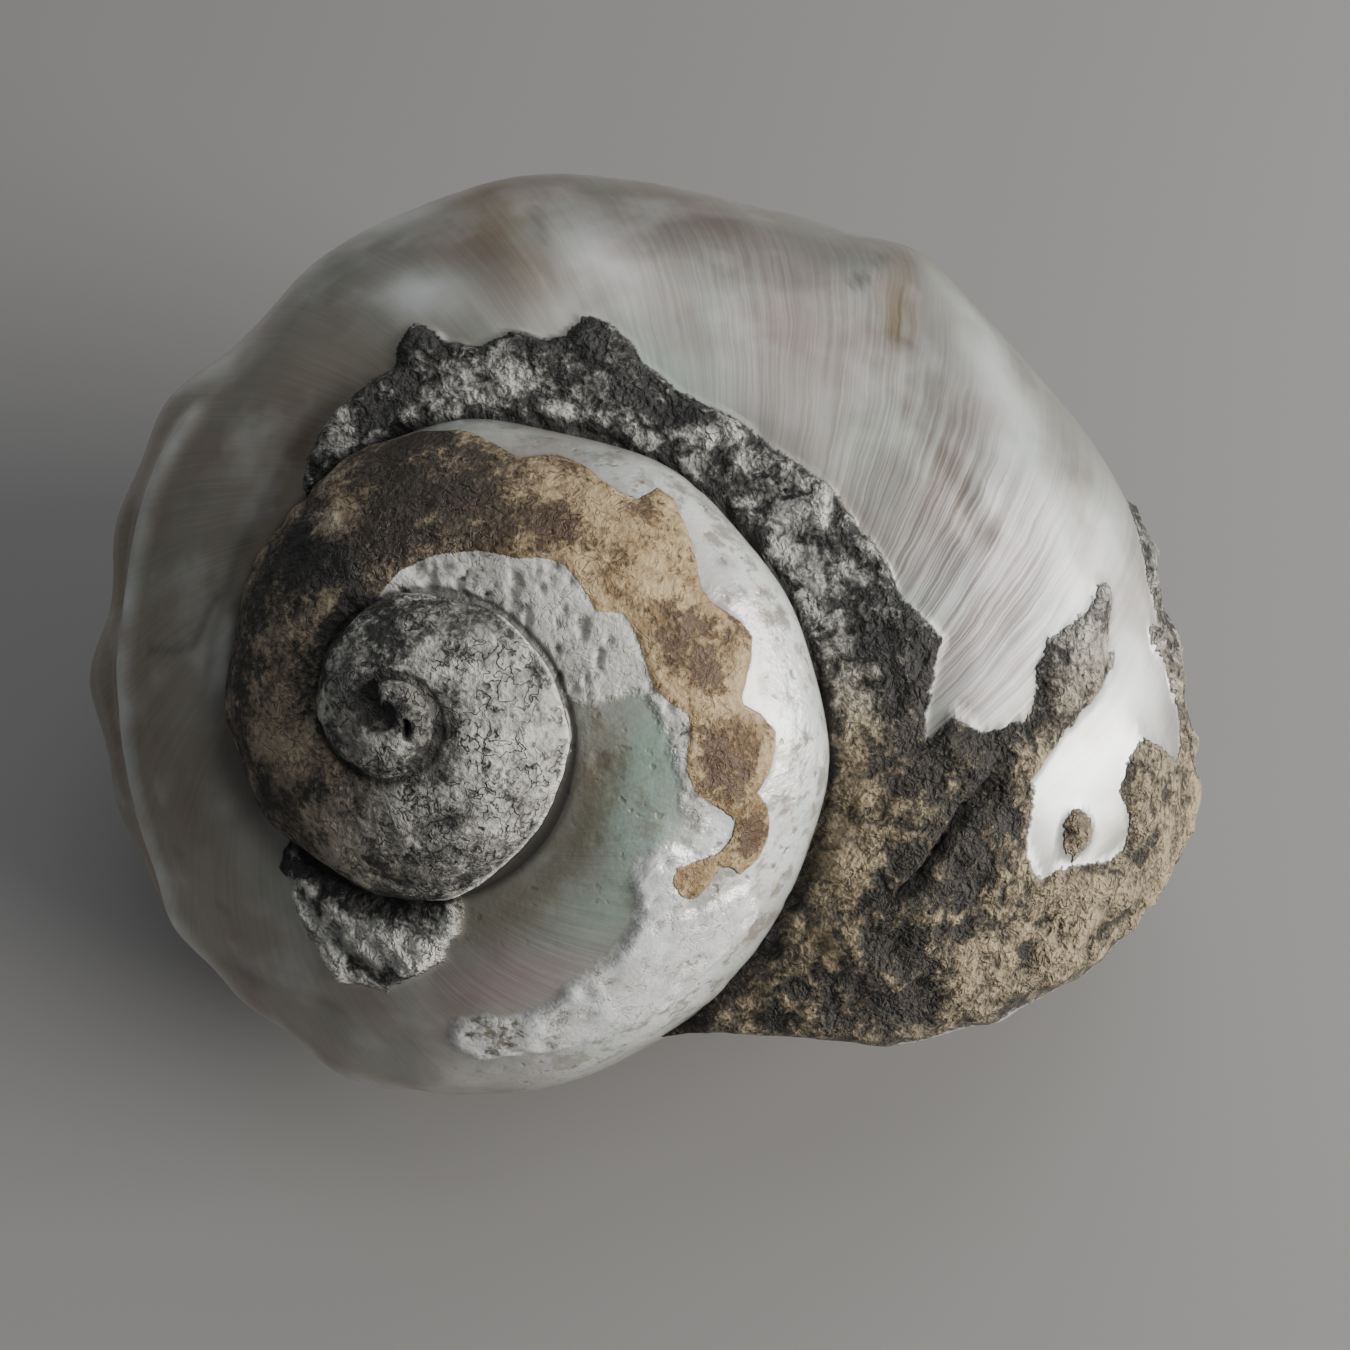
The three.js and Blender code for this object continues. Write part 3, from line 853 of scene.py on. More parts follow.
    def height(
        self,
        t: np.ndarray,
        u: np.ndarray,
        g: np.ndarray,
        points: np.ndarray,
        layers: dict[Layer, np.ndarray],
    ) -> np.ndarray:
        """Height of the surface over the smooth form.

        Args:
            t: Stages.
            u: Row values.
            g: Growth lines.
            points: Places in space, in mm.
            layers: Distances inside the patches.

        Returns:
            Millimetres outward.
        """
        s = self.sizes
        lumps = self.lumps(points)
        grain = self.fine.layered(points, 0.9, 2)
        crust = smooth(layers[Layer.CRUST], -0.2, 0.7)
        skin = smooth(layers[Layer.SKIN], -0.15, 0.3)
        chalk = smooth(layers[Layer.CHALK], -0.3, 0.5) * (1 - skin)
        margin = smooth(layers[Layer.MARGIN], -0.4, 0.5) * (1 - skin)
        spire = smooth(layers[Layer.SPIRE], -0.5, 0.8)
        pits = self.pits(points)
        worn = smooth(self.noise.layered(points + 70, 1.2, 2), 0.2, 0.6)
        lines = self.fine.at(np.stack([g * 300, u * 2, 0 * u], -1), 1.0)
        size = self.form.arc(t).size
        full = self.form.arc(np.array(self.form.growth.lip)).size
        seam = np.exp(-((self.to_seam(t, u) / (s.seam_width * (size / full) ** 0.5)) ** 2))
        swell = s.swell * self.noise.layered(points, 8.0, 2)
        body = smooth(t, 1.25, 1.5)
        return (
            -s.inset
            + crust * s.crust * (0.6 + 1.1 * lumps + 0.4 * grain + self.clouds(THICK, t, u))
            + skin * s.skin * (1 + 0.5 * grain + 0.5 * lumps)
            + chalk * (s.chalk - s.pits * pits + 0.14 * lumps)
            + margin * (s.margin - 0.9 * s.pits * pits + 0.22 * lumps)
            - 0.4 * s.pits * worn * self.clouds(FLECKS, t, u) * (1 - skin)
            + spire * s.spire_grain * (0.7 * lumps + 0.5 * grain) * (size / full) ** 0.5
            + s.growth_lines * lines * (1 - crust) * body
            + swell * size / full
            - s.seam * seam * (size / full) ** 0.4
            - sum(k.depth * self.line(k.path, k.width, t, u) for k in STROKES if k.depth)
            + sum(k.raised * self.line(k.path, k.width, t, u) for k in WASHES if k.raised)
        )


# ---- Mesh ----


@dataclass(frozen=True)
class MeshSteps:
    """How finely the shell is meshed."""

    per_turn: int = 350
    shoulder: int = 88
    crowding: float = 1.15
    base: int = 36
    coarse_from: int = 650
    bore_rings: int = 34
    lip_rows: int = 4
    evenness: float = 0.15

    @property
    def rows(self) -> int:
        """Rows from the upper seam to the axis."""
        return self.shoulder + self.base


class ShellMesh:
    """The closed mesh: points, faces and the facts that the material reads."""

    BEARING_START = -100
    BEARING_LAST = 357

    def __init__(self, form: Form, pose: Pose, steps: MeshSteps, relief: Relief) -> None:
        """Work out the whole mesh.

        Args:
            form: The shell's form.
            pose: How it leans.
            steps: How finely it is meshed.
            relief: Patches and heights.
        """
        self.form, self.pose, self.steps, self.relief = form, pose, steps, relief
        self.quads: list[np.ndarray] = []
        self.triangles: list[np.ndarray] = []
        self.outer()
        self.bore()

    def outer(self) -> None:
        """Lay out the outer surface, what the material reads there, and its faces."""
        form, steps, relief = self.form, self.steps, self.relief
        per_whorl = round((1 - form.lag) * steps.per_turn)
        last = round((form.growth.lip - form.growth.apex) * steps.per_turn)
        joined, seam = last - per_whorl, steps.shoulder
        t, u, g = self.grid(last)
        points = form.surface(t, u)
        layers = relief.layers(t, u, points)
        height = relief.height(t, u, g, points, layers)
        # The upper seam of each whorl is the lower seam of the whorl before it.
        height[per_whorl:, seam] = np.minimum(height[: joined + 1, 0], height[per_whorl:, seam])
        moved = points + self.outward(t, u, points) * height[..., None]
        nodes = np.arange(t.size).reshape(t.shape)
        own = np.zeros(nodes.shape, bool)
        own[: per_whorl + 1] = True
        own[:, : seam + 1] = True
        own[steps.coarse_from :, 1 : seam + 1 : 2] = False
        own[: joined + 1, 0] = False
        vertex = np.full(nodes.size, -1)
        vertex[nodes[own]] = np.arange(own.sum())
        vertex[nodes[: joined + 1, 0]] = vertex[nodes[per_whorl:, seam]]
        self.points, self.vertex = [moved[own]], [vertex]
        self.count, self.node_count = int(own.sum()), nodes.size
        self.t, self.u, self.nodes, self.per_whorl = t, u, nodes, per_whorl
        self.block(0, per_whorl, steps.rows)
        self.block(per_whorl, steps.coarse_from - 1, seam)
        self.block(steps.coarse_from, last, seam, 2)
        left, right = nodes[steps.coarse_from - 1], nodes[steps.coarse_from]
        for k in range(0, seam, 2):
            self.triangles += [
                np.array([left[k], left[k + 1], right[k]]),
                np.array([left[k + 1], left[k + 2], right[k + 2]]),
                np.array([left[k + 1], right[k + 2], right[k]]),
            ]
        self.read(g, points, layers)
        apex = [*nodes[joined:, 0], *nodes[last, 2:seam:2]]
        self.fan(np.array(apex), form.apex_lift, {
            "stage": -1.4, "row": 0.5, "growth": -1.4, "spire": 2.0, "soot_and_shade": 0.6, "stain_and_shade": 0.3,
        })
        axis = nodes[per_whorl::-1, steps.rows]
        self.fan(axis, form.axis_lift, {"stage": 1.9, "row": 2.0, "growth": 1.9})

    def grid(self, last: int) -> tuple[np.ndarray, np.ndarray, np.ndarray]:
        """Spread nodes over the outer surface.

        Args:
            last: Number of columns behind the lip.

        Returns:
            Stage, row and growth line of each node.
        """
        form, steps, lip = self.form, self.steps, self.form.growth.lip
        upper = (np.arange(steps.shoulder) / steps.shoulder) ** steps.crowding
        rows = np.concatenate([upper, 1 + np.arange(steps.base + 1) / steps.base])
        g, u = np.meshgrid(lip - np.arange(last + 1) / steps.per_turn, rows, indexing="ij")
        uneven = self.relief.noise.layered(np.stack([u * 40, 0 * u, 0 * u], -1), 5.0)
        chips = form.chip * uneven * np.exp(-(lip - g) / form.chip_reach)
        return g - form.lag_at(u) - np.abs(chips), u, g

    def outward(self, t: np.ndarray, u: np.ndarray, points: np.ndarray) -> np.ndarray:
        """Outward direction at each node.

        Args:
            t: Stages.
            u: Row values.
            points: The nodes' places, in mm.

        Returns:
            Steps of length 1.
        """
        form = self.form
        along = form.surface(t + 0.0005, u) - form.surface(t - 0.0005, u)
        down = form.surface(t, np.minimum(u + 0.001, 2)) - form.surface(t, np.maximum(u - 0.001, 0))
        normal = np.cross(along, down)
        normal /= np.linalg.norm(normal, axis=-1, keepdims=True)
        middle = (normal * points)[:, self.steps.shoulder // 2, :2]
        return normal * np.sign(middle.sum(-1).mean())

    def block(self, first: int, end: int, rows: int, step: int = 1) -> None:
        """Join a block of nodes with four-sided faces.

        Args:
            first: First column.
            end: Last column.
            rows: Last row.
            step: Rows from one face to the next.
        """
        near, far = self.nodes[first:end], self.nodes[first + 1 : end + 1]
        upper, lower = slice(0, rows, step), slice(step, rows + 1, step)
        faces = np.stack([near[:, upper], near[:, lower], far[:, lower], far[:, upper]], -1)
        self.quads.append(faces.reshape(-1, 4))

    def read(self, g: np.ndarray, points: np.ndarray, layers: dict[Layer, np.ndarray]) -> None:
        """Note what the material reads at each node.

        Args:
            g: Growth lines.
            points: The nodes' places, in mm.
            layers: Distances inside the patches.
        """
        t, u, relief = self.t, self.u, self.relief
        facts = {
            "stage": t, "row": u, "growth": g, "stain_and_shade": relief.stains_and_seam_shade(t, u),
            "inside": np.zeros(t.shape), "rim_highlight": relief.line(RIM_HIGHLIGHT, 0.3, t, u),
            "lump": relief.lumps(points), "soot_and_shade": relief.clouds(SOOT_AND_SHADE, t, u),
            "pale": relief.clouds(PALE, t, u), "striae": relief.clouds(STRIAE, t, u),
            "flecks": relief.clouds(FLECKS, t, u),
        }
        chalky = np.maximum(layers[Layer.CHALK], 0.5 * layers[Layer.MARGIN]) > 0
        facts["soot_and_shade"] += 0.4 * (relief.pits(points) * chalky)
        skin = smooth(layers[Layer.SKIN], 0.4, 1.6)
        facts["soot_and_shade"] += 0.3 * skin * smooth(t, 0.85, 0.95)
        facts |= {coating.layer.value: layers[coating.layer] for coating in COATINGS}
        self.facts = {name: [values.ravel()] for name, values in facts.items()}
        self.tints = [relief.tint(t, u, points).reshape(-1, 4)]

    def add(self, points: np.ndarray, facts: dict[str, np.ndarray | float]) -> np.ndarray:
        """Add points with what the material reads at them.

        Args:
            points: Places in mm, one row each.
            facts: What the material reads there; anything not given is far outside or 0.

        Returns:
            Their corner numbers.
        """
        n = len(points)
        corners = self.node_count + np.arange(n)
        self.node_count += n
        self.vertex.append(self.count + np.arange(n))
        self.count += n
        self.points.append(points)
        coated = {coating.layer.value for coating in COATINGS}
        for name, values in self.facts.items():
            default = -Patch.REACH if name in coated else 0.0
            values.append(np.broadcast_to(facts.get(name, default), (n,)).astype(float))
        colour = np.array(linear(PALE_NACRE_AND_HIGHLIGHT))
        self.tints.append(np.broadcast_to(colour, (n, 4)))
        return corners

    def place_of(self, corners: np.ndarray) -> np.ndarray:
        """Points in mm of the given corners."""
        return np.concatenate(self.points)[np.concatenate(self.vertex)[corners]]

    def fan(self, loop: np.ndarray, lift: float, facts: dict[str, np.ndarray | float]) -> None:
        """Close a loop to one middle point.

        Args:
            loop: Corner numbers round the loop.
            lift: How far the middle point is raised, in mm.
            facts: What the material reads there.
        """
        middle = self.place_of(loop).mean(0, keepdims=True) + np.array([[0, 0, lift]])
        centre = self.add(middle, facts)[0]
        for a, b in zip(loop, np.roll(loop, -1)):
            self.triangles.append(np.array([a, b, centre]))

    def ray(self, r: np.ndarray, z: np.ndarray, centre: np.ndarray, way: np.ndarray) -> np.ndarray:
        """Distance from the bore's middle to an outline.

        Args:
            r: Radii of the outlines, with their samples last.
            z: Depths of the outlines.
            centre: Middle of the bore, coordinates last.
            way: Direction of each ray.

        Returns:
            Lengths in mm, infinite where the ray misses.
        """
        er, ez = np.diff(r), np.diff(z)
        ar, az = r[..., :-1] - centre[..., :1], z[..., :-1] - centre[..., 1:]
        dr, dz = way[..., :1], way[..., 1:]
        cross = dr * ez - dz * er
        cross = np.where(np.abs(cross) < 1e-9, 1e-9, cross)
        along = (ar * ez - az * er) / cross
        share = (ar * dz - az * dr) / cross
        hit = (along > 0) & (share >= -0.001) & (share <= 1.001)
        return np.where(hit, along, np.inf).min(-1)

    def bore_points(
        self, t: np.ndarray, bearing: np.ndarray, back: np.ndarray, narrowing: np.ndarray
    ) -> np.ndarray:
        """Points of the bore's wall.

        Args:
            t: Stages of the cross-sections.
            bearing: Bearings round the bore's middle, in radians.
            back: Turns behind the lip.
            narrowing: Share of the full width.

        Returns:
            Points in mm.
        """
        form = self.form
        samples = np.linspace(0, 1, 91)

        def outline(
            at: np.ndarray, first: float, end: float, offset: np.ndarray
        ) -> tuple[np.ndarray, np.ndarray]:
            """Follow a part of the whorl's outline.

            Args:
                at: Stages.
                first: Row value where it starts.
                end: Row value where it ends.
                offset: How far it is moved outward, in mm.

            Returns:
                Radii and depths in mm.
            """
            arc = form.arc(at[..., None])
            angle = arc.angle(first + (end - first) * samples)
            r, z = arc.point(angle)
            nr, nz = arc.outward(angle)
            return r + nr * offset[..., None], z + nz * offset[..., None]

        arc = form.arc(t)
        centre = np.stack([arc.r + form.bore_offset * arc.size, arc.z], -1)
        way = np.stack([np.cos(bearing), np.sin(bearing)], -1)
        scale = form.growth.radius(t + 1) / form.growth.radius(np.array(form.growth.lip + 1))
        wall = form.lip_wall + (form.wall - form.lip_wall) * np.clip(back / form.lip_taper, 0, 1)
        full = form.arc(np.array(form.growth.lip)).size
        lengths = np.stack([
            self.ray(*outline(t, 0, 2, -wall * scale**0.6), centre, way),
            self.ray(*outline(t - 1, 1, 2, form.glaze * arc.size / full), centre, way),
            np.where(
                way[..., 0] < -0.01,
                (form.pillar * form.growth.radius(t) - centre[..., 0])
                / np.minimum(way[..., 0], -0.01),
                np.inf,
            ),
        ])
        least = lengths.min(0)
        rounding = form.bore_rounding * arc.size
        total = np.exp(-(np.where(np.isfinite(lengths), lengths, 1e3) - least) / rounding).sum(0)
        length = np.maximum(least - rounding * np.log(total), 0.05 * arc.size) * narrowing
        reach = centre + way * length[..., None]
        return form.in_space(t, reach[..., 0], reach[..., 1])

    def bore(self) -> None:
        """Join the mouth to the bore and close the bore's end."""
        form, steps, nodes = self.form, self.steps, self.nodes
        rows = steps.rows
        loop = np.concatenate([
            nodes[0], nodes[self.per_whorl, rows : steps.shoulder : -1],
        ])
        t = self.t.ravel()[loop].copy()
        u = self.u.ravel()[loop]
        parietal = np.arange(len(loop)) > rows
        arc = form.arc(t)
        r, z = arc.point(arc.angle(u))
        t[parietal] += 1
        arc = form.arc(t)
        bearing = np.arctan2(z - arc.z, r - arc.r - form.bore_offset * arc.size)
        bearing = np.mod(np.degrees(bearing) - self.BEARING_START, 360)
        start = bearing[: steps.shoulder // 4]
        start[start > 300] = 0
        bearing = np.maximum.accumulate(bearing)
        even = np.linspace(0, self.BEARING_LAST, len(loop))
        bearing = (1 - steps.evenness) * bearing + steps.evenness * even
        bearing = np.radians(bearing + self.BEARING_START)
        rings = steps.bore_rings
        back = form.bore_turns * (np.arange(rings + 1) / rings)[:, None]
        tip = np.clip((back / form.bore_turns - 1 + form.bore_tip) / (1.04 * form.bore_tip), 0, 1)
        stage = t[None] - back
        wall = self.bore_points(
            stage, np.broadcast_to(bearing, stage.shape), np.broadcast_to(back, stage.shape),
            np.sqrt(1 - tip * tip),
        )
        edge = self.place_of(loop)
        forward = form.surface(t + 0.001, np.minimum(u, 1.9)) - form.surface(t, np.minimum(u, 1.9))
        forward /= np.linalg.norm(forward, axis=-1, keepdims=True)
        half = np.minimum(np.linalg.norm(wall[0] - edge, axis=-1, keepdims=True) / 2, 0.7)
        previous = loop
        for n in range(1, steps.lip_rows):
            share = n / steps.lip_rows
            ring = edge + (wall[0] - edge) * (1 - math.cos(math.pi * share)) / 2
            ring = ring + forward * half * 0.7 * math.sin(math.pi * share)
            crust = np.where((u < 1.05) & ~parietal, 1.6 - 2.4 * share, -Patch.REACH)
            previous = self.strip(previous, ring, t, u, np.full(len(loop), share), 0.0, crust)
        for n in range(rings + 1):
            previous = self.strip(
                previous, wall[n], stage[n], 2 + bearing, np.full(len(loop), 1.0), float(back[n, 0])
            )
        self.fan(previous[::-1], 0.0, {"inside": 1.0})

    def strip(
        self,
        before: np.ndarray,
        ring: np.ndarray,
        stage: np.ndarray,
        row: np.ndarray,
        inside: np.ndarray,
        back: float,
        crust: np.ndarray | float = -Patch.REACH,
    ) -> np.ndarray:
        """Join one ring of points to the ring before it.

        Args:
            before: Corner numbers of the ring before.
            ring: Points of the new ring.
            stage: Its stages.
            row: Its row values.
            inside: 0 on the outer surface, 1 in the bore.
            back: Turns behind the lip.
            crust: Distance inside the crust, in mm.

        Returns:
            Corner numbers of the new ring.
        """
        growth = self.form.growth.lip - back
        corners = self.add(ring, {
            "stage": stage, "row": row, "inside": inside, "growth": growth, "crust": crust,
        })
        self.quads.append(np.stack(
            [before, corners, np.roll(corners, -1), np.roll(before, -1)], -1
        ))
        return corners

    def build(self, name: str, box: tuple[Vector, Vector]) -> bpy.types.Object:
        """Make the Blender object.

        Args:
            name: Name of the object.
            box: Lowest and highest corner that it must stay within, in metres.

        Returns:
            The object, in its place.
        """
        points = self.pose.place(np.concatenate(self.points)) * MM
        least, most = np.array(box[0]) + 2e-5, np.array(box[1]) - 2e-5
        least[2] = 0
        points = np.clip(points, least, most)
        vertex = np.concatenate(self.vertex)
        quads = np.concatenate(self.quads)
        triangles = np.array(self.triangles)
        corners = np.concatenate([quads.ravel(), triangles.ravel()])
        mesh = bpy.data.meshes.new(name)
        mesh.vertices.add(len(points))
        mesh.vertices.foreach_set("co", points.ravel())
        mesh.loops.add(len(corners))
        mesh.loops.foreach_set("vertex_index", vertex[corners])
        starts = np.concatenate([
            np.arange(len(quads)) * 4, len(quads) * 4 + np.arange(len(triangles)) * 3,
        ])
        mesh.polygons.add(len(starts))
        mesh.polygons.foreach_set("loop_start", starts)
        mesh.update(calc_edges=True)
        mesh.polygons.foreach_set("use_smooth", np.ones(len(starts), bool))
        for fact, values in self.facts.items():
            attribute = mesh.attributes.new(fact, "FLOAT", "CORNER")
            attribute.data.foreach_set("value", np.concatenate(values)[corners])
        tint = mesh.attributes.new("tint", "FLOAT_COLOR", "CORNER")
        tint.data.foreach_set("color", np.concatenate(self.tints)[corners].ravel())
        mesh.validate()
        LOG.info("%s: %d triangles", name, 2 * len(quads) + len(triangles))
        piece = bpy.data.objects.new(name, mesh)
        bpy.context.scene.collection.objects.link(piece)
        return piece


# ---- Material ----


class Group:
    """A shader node group with named inputs and outputs."""

    KINDS = {"colour": "NodeSocketColor", "value": "NodeSocketFloat", "vector": "NodeSocketVector"}

    def __init__(self, name: str, inputs: dict[str, tuple], outputs: dict[str, str]) -> None:
        """Make the group.

        Args:
            name: Name of the group.
            inputs: Kind and starting value of each input.
            outputs: Kind of each output.
        """
        self.tree = bpy.data.node_groups.new(name, "ShaderNodeTree")
        for label, (kind, value) in inputs.items():
            socket = self.tree.interface.new_socket(
                label, in_out="INPUT", socket_type=self.KINDS[kind]
            )
            if value is not None:
                socket.default_value = value
        for label, kind in outputs.items():
            self.tree.interface.new_socket(
                label, in_out="OUTPUT", socket_type=self.KINDS[kind]
            )
        self.nodes = Wiring(self.tree)
        self.inputs = self.tree.nodes.new("NodeGroupInput").outputs
        self.outputs = self.tree.nodes.new("NodeGroupOutput").inputs


class Wiring:
    """Short ways to add and link shader nodes."""

    def __init__(self, tree: bpy.types.NodeTree) -> None:
        """Keep the tree that nodes are added to."""
        self.tree = tree

    def feed(self, socket: bpy.types.NodeSocket, source: object) -> None:
        """Link a socket or set its value.

        Args:
            socket: Input to feed.
            source: An output to link, or a value.
        """
        if isinstance(source, bpy.types.NodeSocket):
            self.tree.links.new(source, socket)
        else:
            socket.default_value = source

    def math(self, operation: str, *values: object) -> bpy.types.NodeSocket:
        """Add a math node.

        Args:
            operation: Blender's name of the sum.
            values: Its inputs.

        Returns:
            The result.
        """
        node = self.tree.nodes.new("ShaderNodeMath")
        node.operation = operation
        for socket, value in zip(node.inputs, values):
            self.feed(socket, value)
        return node.outputs[0]

    def plus(self, a: object, b: object) -> bpy.types.NodeSocket:
        """Add two values."""
        return self.math("ADD", a, b)

    def minus(self, a: object, b: object) -> bpy.types.NodeSocket:
        """Take one value from another."""
        return self.math("SUBTRACT", a, b)

    def times(self, a: object, b: object) -> bpy.types.NodeSocket:
        """Multiply two values."""
        return self.math("MULTIPLY", a, b)

    def sum(self, *terms: tuple[object, float]) -> bpy.types.NodeSocket:
        """Add up values, each multiplied by its share.

        Args:
            terms: Each value and its share.

        Returns:
            The sum.
        """
        total = self.times(*terms[0])
        for value, share in terms[1:]:
            total = self.plus(total, self.times(value, share))
        return total

    def ramp(self, value: object, start: object, end: object) -> bpy.types.NodeSocket:
        """Ease a value from 0 to 1.

        Args:
            value: Value to map.
            start: Value that gives 0.
            end: Value that gives 1.

        Returns:
            The eased share.
        """
        node = self.tree.nodes.new("ShaderNodeMapRange")
        node.interpolation_type = "SMOOTHSTEP"
        for label, source in (("Value", value), ("From Min", start), ("From Max", end)):
            self.feed(node.inputs[label], source)
        return node.outputs["Result"]

    def mix(self, share: object, a: object, b: object) -> bpy.types.NodeSocket:
        """Mix two colours.

        Args:
            share: 0 for the first, 1 for the second.
            a: First colour.
            b: Second colour.

        Returns:
            The mixed colour.
        """
        node = self.tree.nodes.new("ShaderNodeMix")
        node.data_type = "RGBA"
        self.feed(node.inputs[0], share)
        self.feed(node.inputs[6], a)
        self.feed(node.inputs[7], b)
        return node.outputs[2]

    def stain_and_shade(self, share: object, colour: object, factor: Colour) -> bpy.types.NodeSocket:
        """Shade a colour towards another.

        Args:
            share: 0 to leave it, 1 for the whole shade.
            colour: Colour to shade.
            factor: What its red, green and blue are multiplied by.

        Returns:
            The shaded colour.
        """
        shaded = self.mix(share, colour, (*factor, 1.0))
        shaded.node.blend_type = "MULTIPLY"
        return shaded

    def blend(self, share: object, a: object, b: object) -> bpy.types.NodeSocket:
        """Mix two values.

        Args:
            share: 0 for the first, 1 for the second.
            a: First value.
            b: Second value.

        Returns:
            The mixed value.
        """
        node = self.tree.nodes.new("ShaderNodeMix")
        self.feed(node.inputs[0], share)
        self.feed(node.inputs[2], a)
        self.feed(node.inputs[3], b)
        return node.outputs[0]

    def noise(
        self, place: object, size: float, detail: float = 3.0, harshness: float = 0.5
    ) -> bpy.types.NodeSocket:
        """Add noise.

        Args:
            place: Position in mm.
            size: Size of the lumps in mm.
            detail: Layers of finer noise.
            harshness: Strength of each finer layer beside the one before.

        Returns:
            Values from 0 to 1.
        """
        node = self.tree.nodes.new("ShaderNodeTexNoise")
        self.feed(node.inputs["Vector"], place)
        node.inputs["Scale"].default_value = 1 / size
        node.inputs["Detail"].default_value = detail
        node.inputs["Roughness"].default_value = harshness
        return node.outputs["Fac"]

    def cells(self, place: object, size: float) -> bpy.types.NodeSocket:
        """Add cells.

        Args:
            place: Position in mm.
            size: Size of the cells in mm.

        Returns:
            Distance to the nearest cell's middle.
        """
        node = self.tree.nodes.new("ShaderNodeTexVoronoi")
        self.feed(node.inputs["Vector"], place)
        node.inputs["Scale"].default_value = 1 / size
        return node.outputs["Distance"]

    def vector(self, x: object, y: object, z: object) -> bpy.types.NodeSocket:
        """Join three values into a vector.

        Args:
            x: First value.
            y: Second value.
            z: Third value.

        Returns:
            The vector.
        """
        node = self.tree.nodes.new("ShaderNodeCombineXYZ")
        for socket, value in zip(node.inputs, (x, y, z)):
            self.feed(socket, value)
        return node.outputs[0]

    def fact(self, name: str, colour: bool = False) -> bpy.types.NodeSocket:
        """Read a value stored on the mesh.

        Args:
            name: Name of the stored value.
            colour: True for a colour.

        Returns:
            The value.
        """
        node = self.tree.nodes.new("ShaderNodeAttribute")
        node.attribute_name = name
        return node.outputs["Color" if colour else "Fac"]

    def use(self, group: "Group", **values: object) -> bpy.types.bpy_prop_collection:
        """Place a group.

        Args:
            group: The group.
            values: Its inputs by name, with underscores for spaces.

        Returns:
            Its outputs.
        """
        node = self.tree.nodes.new("ShaderNodeGroup")
        node.node_tree = group.tree
        for label, value in values.items():
            self.feed(node.inputs[label.replace("_", " ")], value)
        return node.outputs


@dataclass(frozen=True)
class Finish:
    """Colours, gloss and grain of one kind of surface.

    Darkness and lightness each give a share everywhere, and a share added in pale places and where
    soot and painted shade lie.
    """

    dark: Colour
    middle: Colour
    light: Colour
    roughness: float
    darkness: tuple[float, float]
    lightness: tuple[float, float]
    softness: float = 0.1
    bumps: float = 0.5
    gloss: float = 0.0
    veins: float = 0.6
    pebbles: float = 0.0


CRUST = Finish(
    (0.15, 0.145, 0.14), (0.36, 0.35, 0.33), (0.80, 0.79, 0.755), 0.85,
    (0.36, 0.5), (0.22, 0.78), softness=0.18, bumps=1.1, veins=0.4, pebbles=1.0,
)
LIP_CRUST = Finish(
    (0.13, 0.115, 0.095), (0.35, 0.31, 0.245), (0.64, 0.57, 0.45), 0.75,
    (0.4, 0.42), (0.36, 0.6), softness=0.13, bumps=1.1, pebbles=0.7,
)
SKIN = Finish(
    (0.28, 0.19, 0.10), (0.51, 0.405, 0.265), (0.71, 0.62, 0.46), 0.6,
    (0.27, 0.6), (0.5, 0.4), softness=0.16, bumps=0.35, veins=0.35,
)
OLD_SKIN = Finish(
    (0.17, 0.14, 0.105), (0.42, 0.36, 0.275), (0.59, 0.52, 0.415), 0.6,
    (0.42, 0.5), (0.5, 0.5), softness=0.14, bumps=0.5, veins=0.8,
)
CHALK = Finish(
    (0.30, 0.28, 0.25), (0.64, 0.63, 0.60), (0.80, 0.795, 0.77), 0.5,
    (0.1, 0.5), (0.5, 0.0), softness=0.2, bumps=0.3, veins=0.35,
)
MARGIN = Finish(
    (0.50, 0.46, 0.39), (0.86, 0.86, 0.84), (0.94, 0.94, 0.93), 0.32,
    (0.12, 0.7), (0.5, 0.0), softness=0.2, bumps=0.15, gloss=0.35, veins=0.5,
)
SPIRE = Finish(
    (0.09, 0.085, 0.08), (0.42, 0.41, 0.385), (0.74, 0.73, 0.69), 0.75,
    (0.4, 0.6), (0.3, 0.7), softness=0.14, bumps=0.6, veins=1.0, pebbles=0.2,
)
OLD_BROWN = Finish(
    (0.10, 0.09, 0.08), (0.36, 0.315, 0.26), (0.58, 0.52, 0.43), 0.7,
    (0.4, 0.65), (0.3, 0.7), softness=0.13, bumps=0.7, pebbles=0.3,
)


@dataclass(frozen=True)
class Coating:
    """A finish laid inside a kind of patch, and another that takes its place at some stages."""

    layer: Layer
    finish: Finish
    ragged: float
    softness: float
    other: Finish | None = None
    other_from: float = 0.0
    other_full: float = 1.0


COATINGS: tuple[Coating, ...] = (
    Coating(Layer.CHALK, CHALK, 0.8, 0.45),
    Coating(Layer.MARGIN, MARGIN, 1.0, 0.6),
    Coating(Layer.SKIN, SKIN, 0.5, 0.06, OLD_SKIN, 0.93, 0.76),
    Coating(Layer.SPIRE, SPIRE, 2.5, 0.6, OLD_BROWN, 0.2, 0.42),
    Coating(Layer.CRUST, CRUST, 1.2, 0.12, LIP_CRUST, 1.96, 2.03),
)


@dataclass(frozen=True)
class Veil:
    """A cloudy change of colour in the nacre, multiplied in or mixed in."""

    colour: Colour
    share: float
    size: float
    detail: float
    harshness: float
    start: float
    end: float
    mixed: bool = False


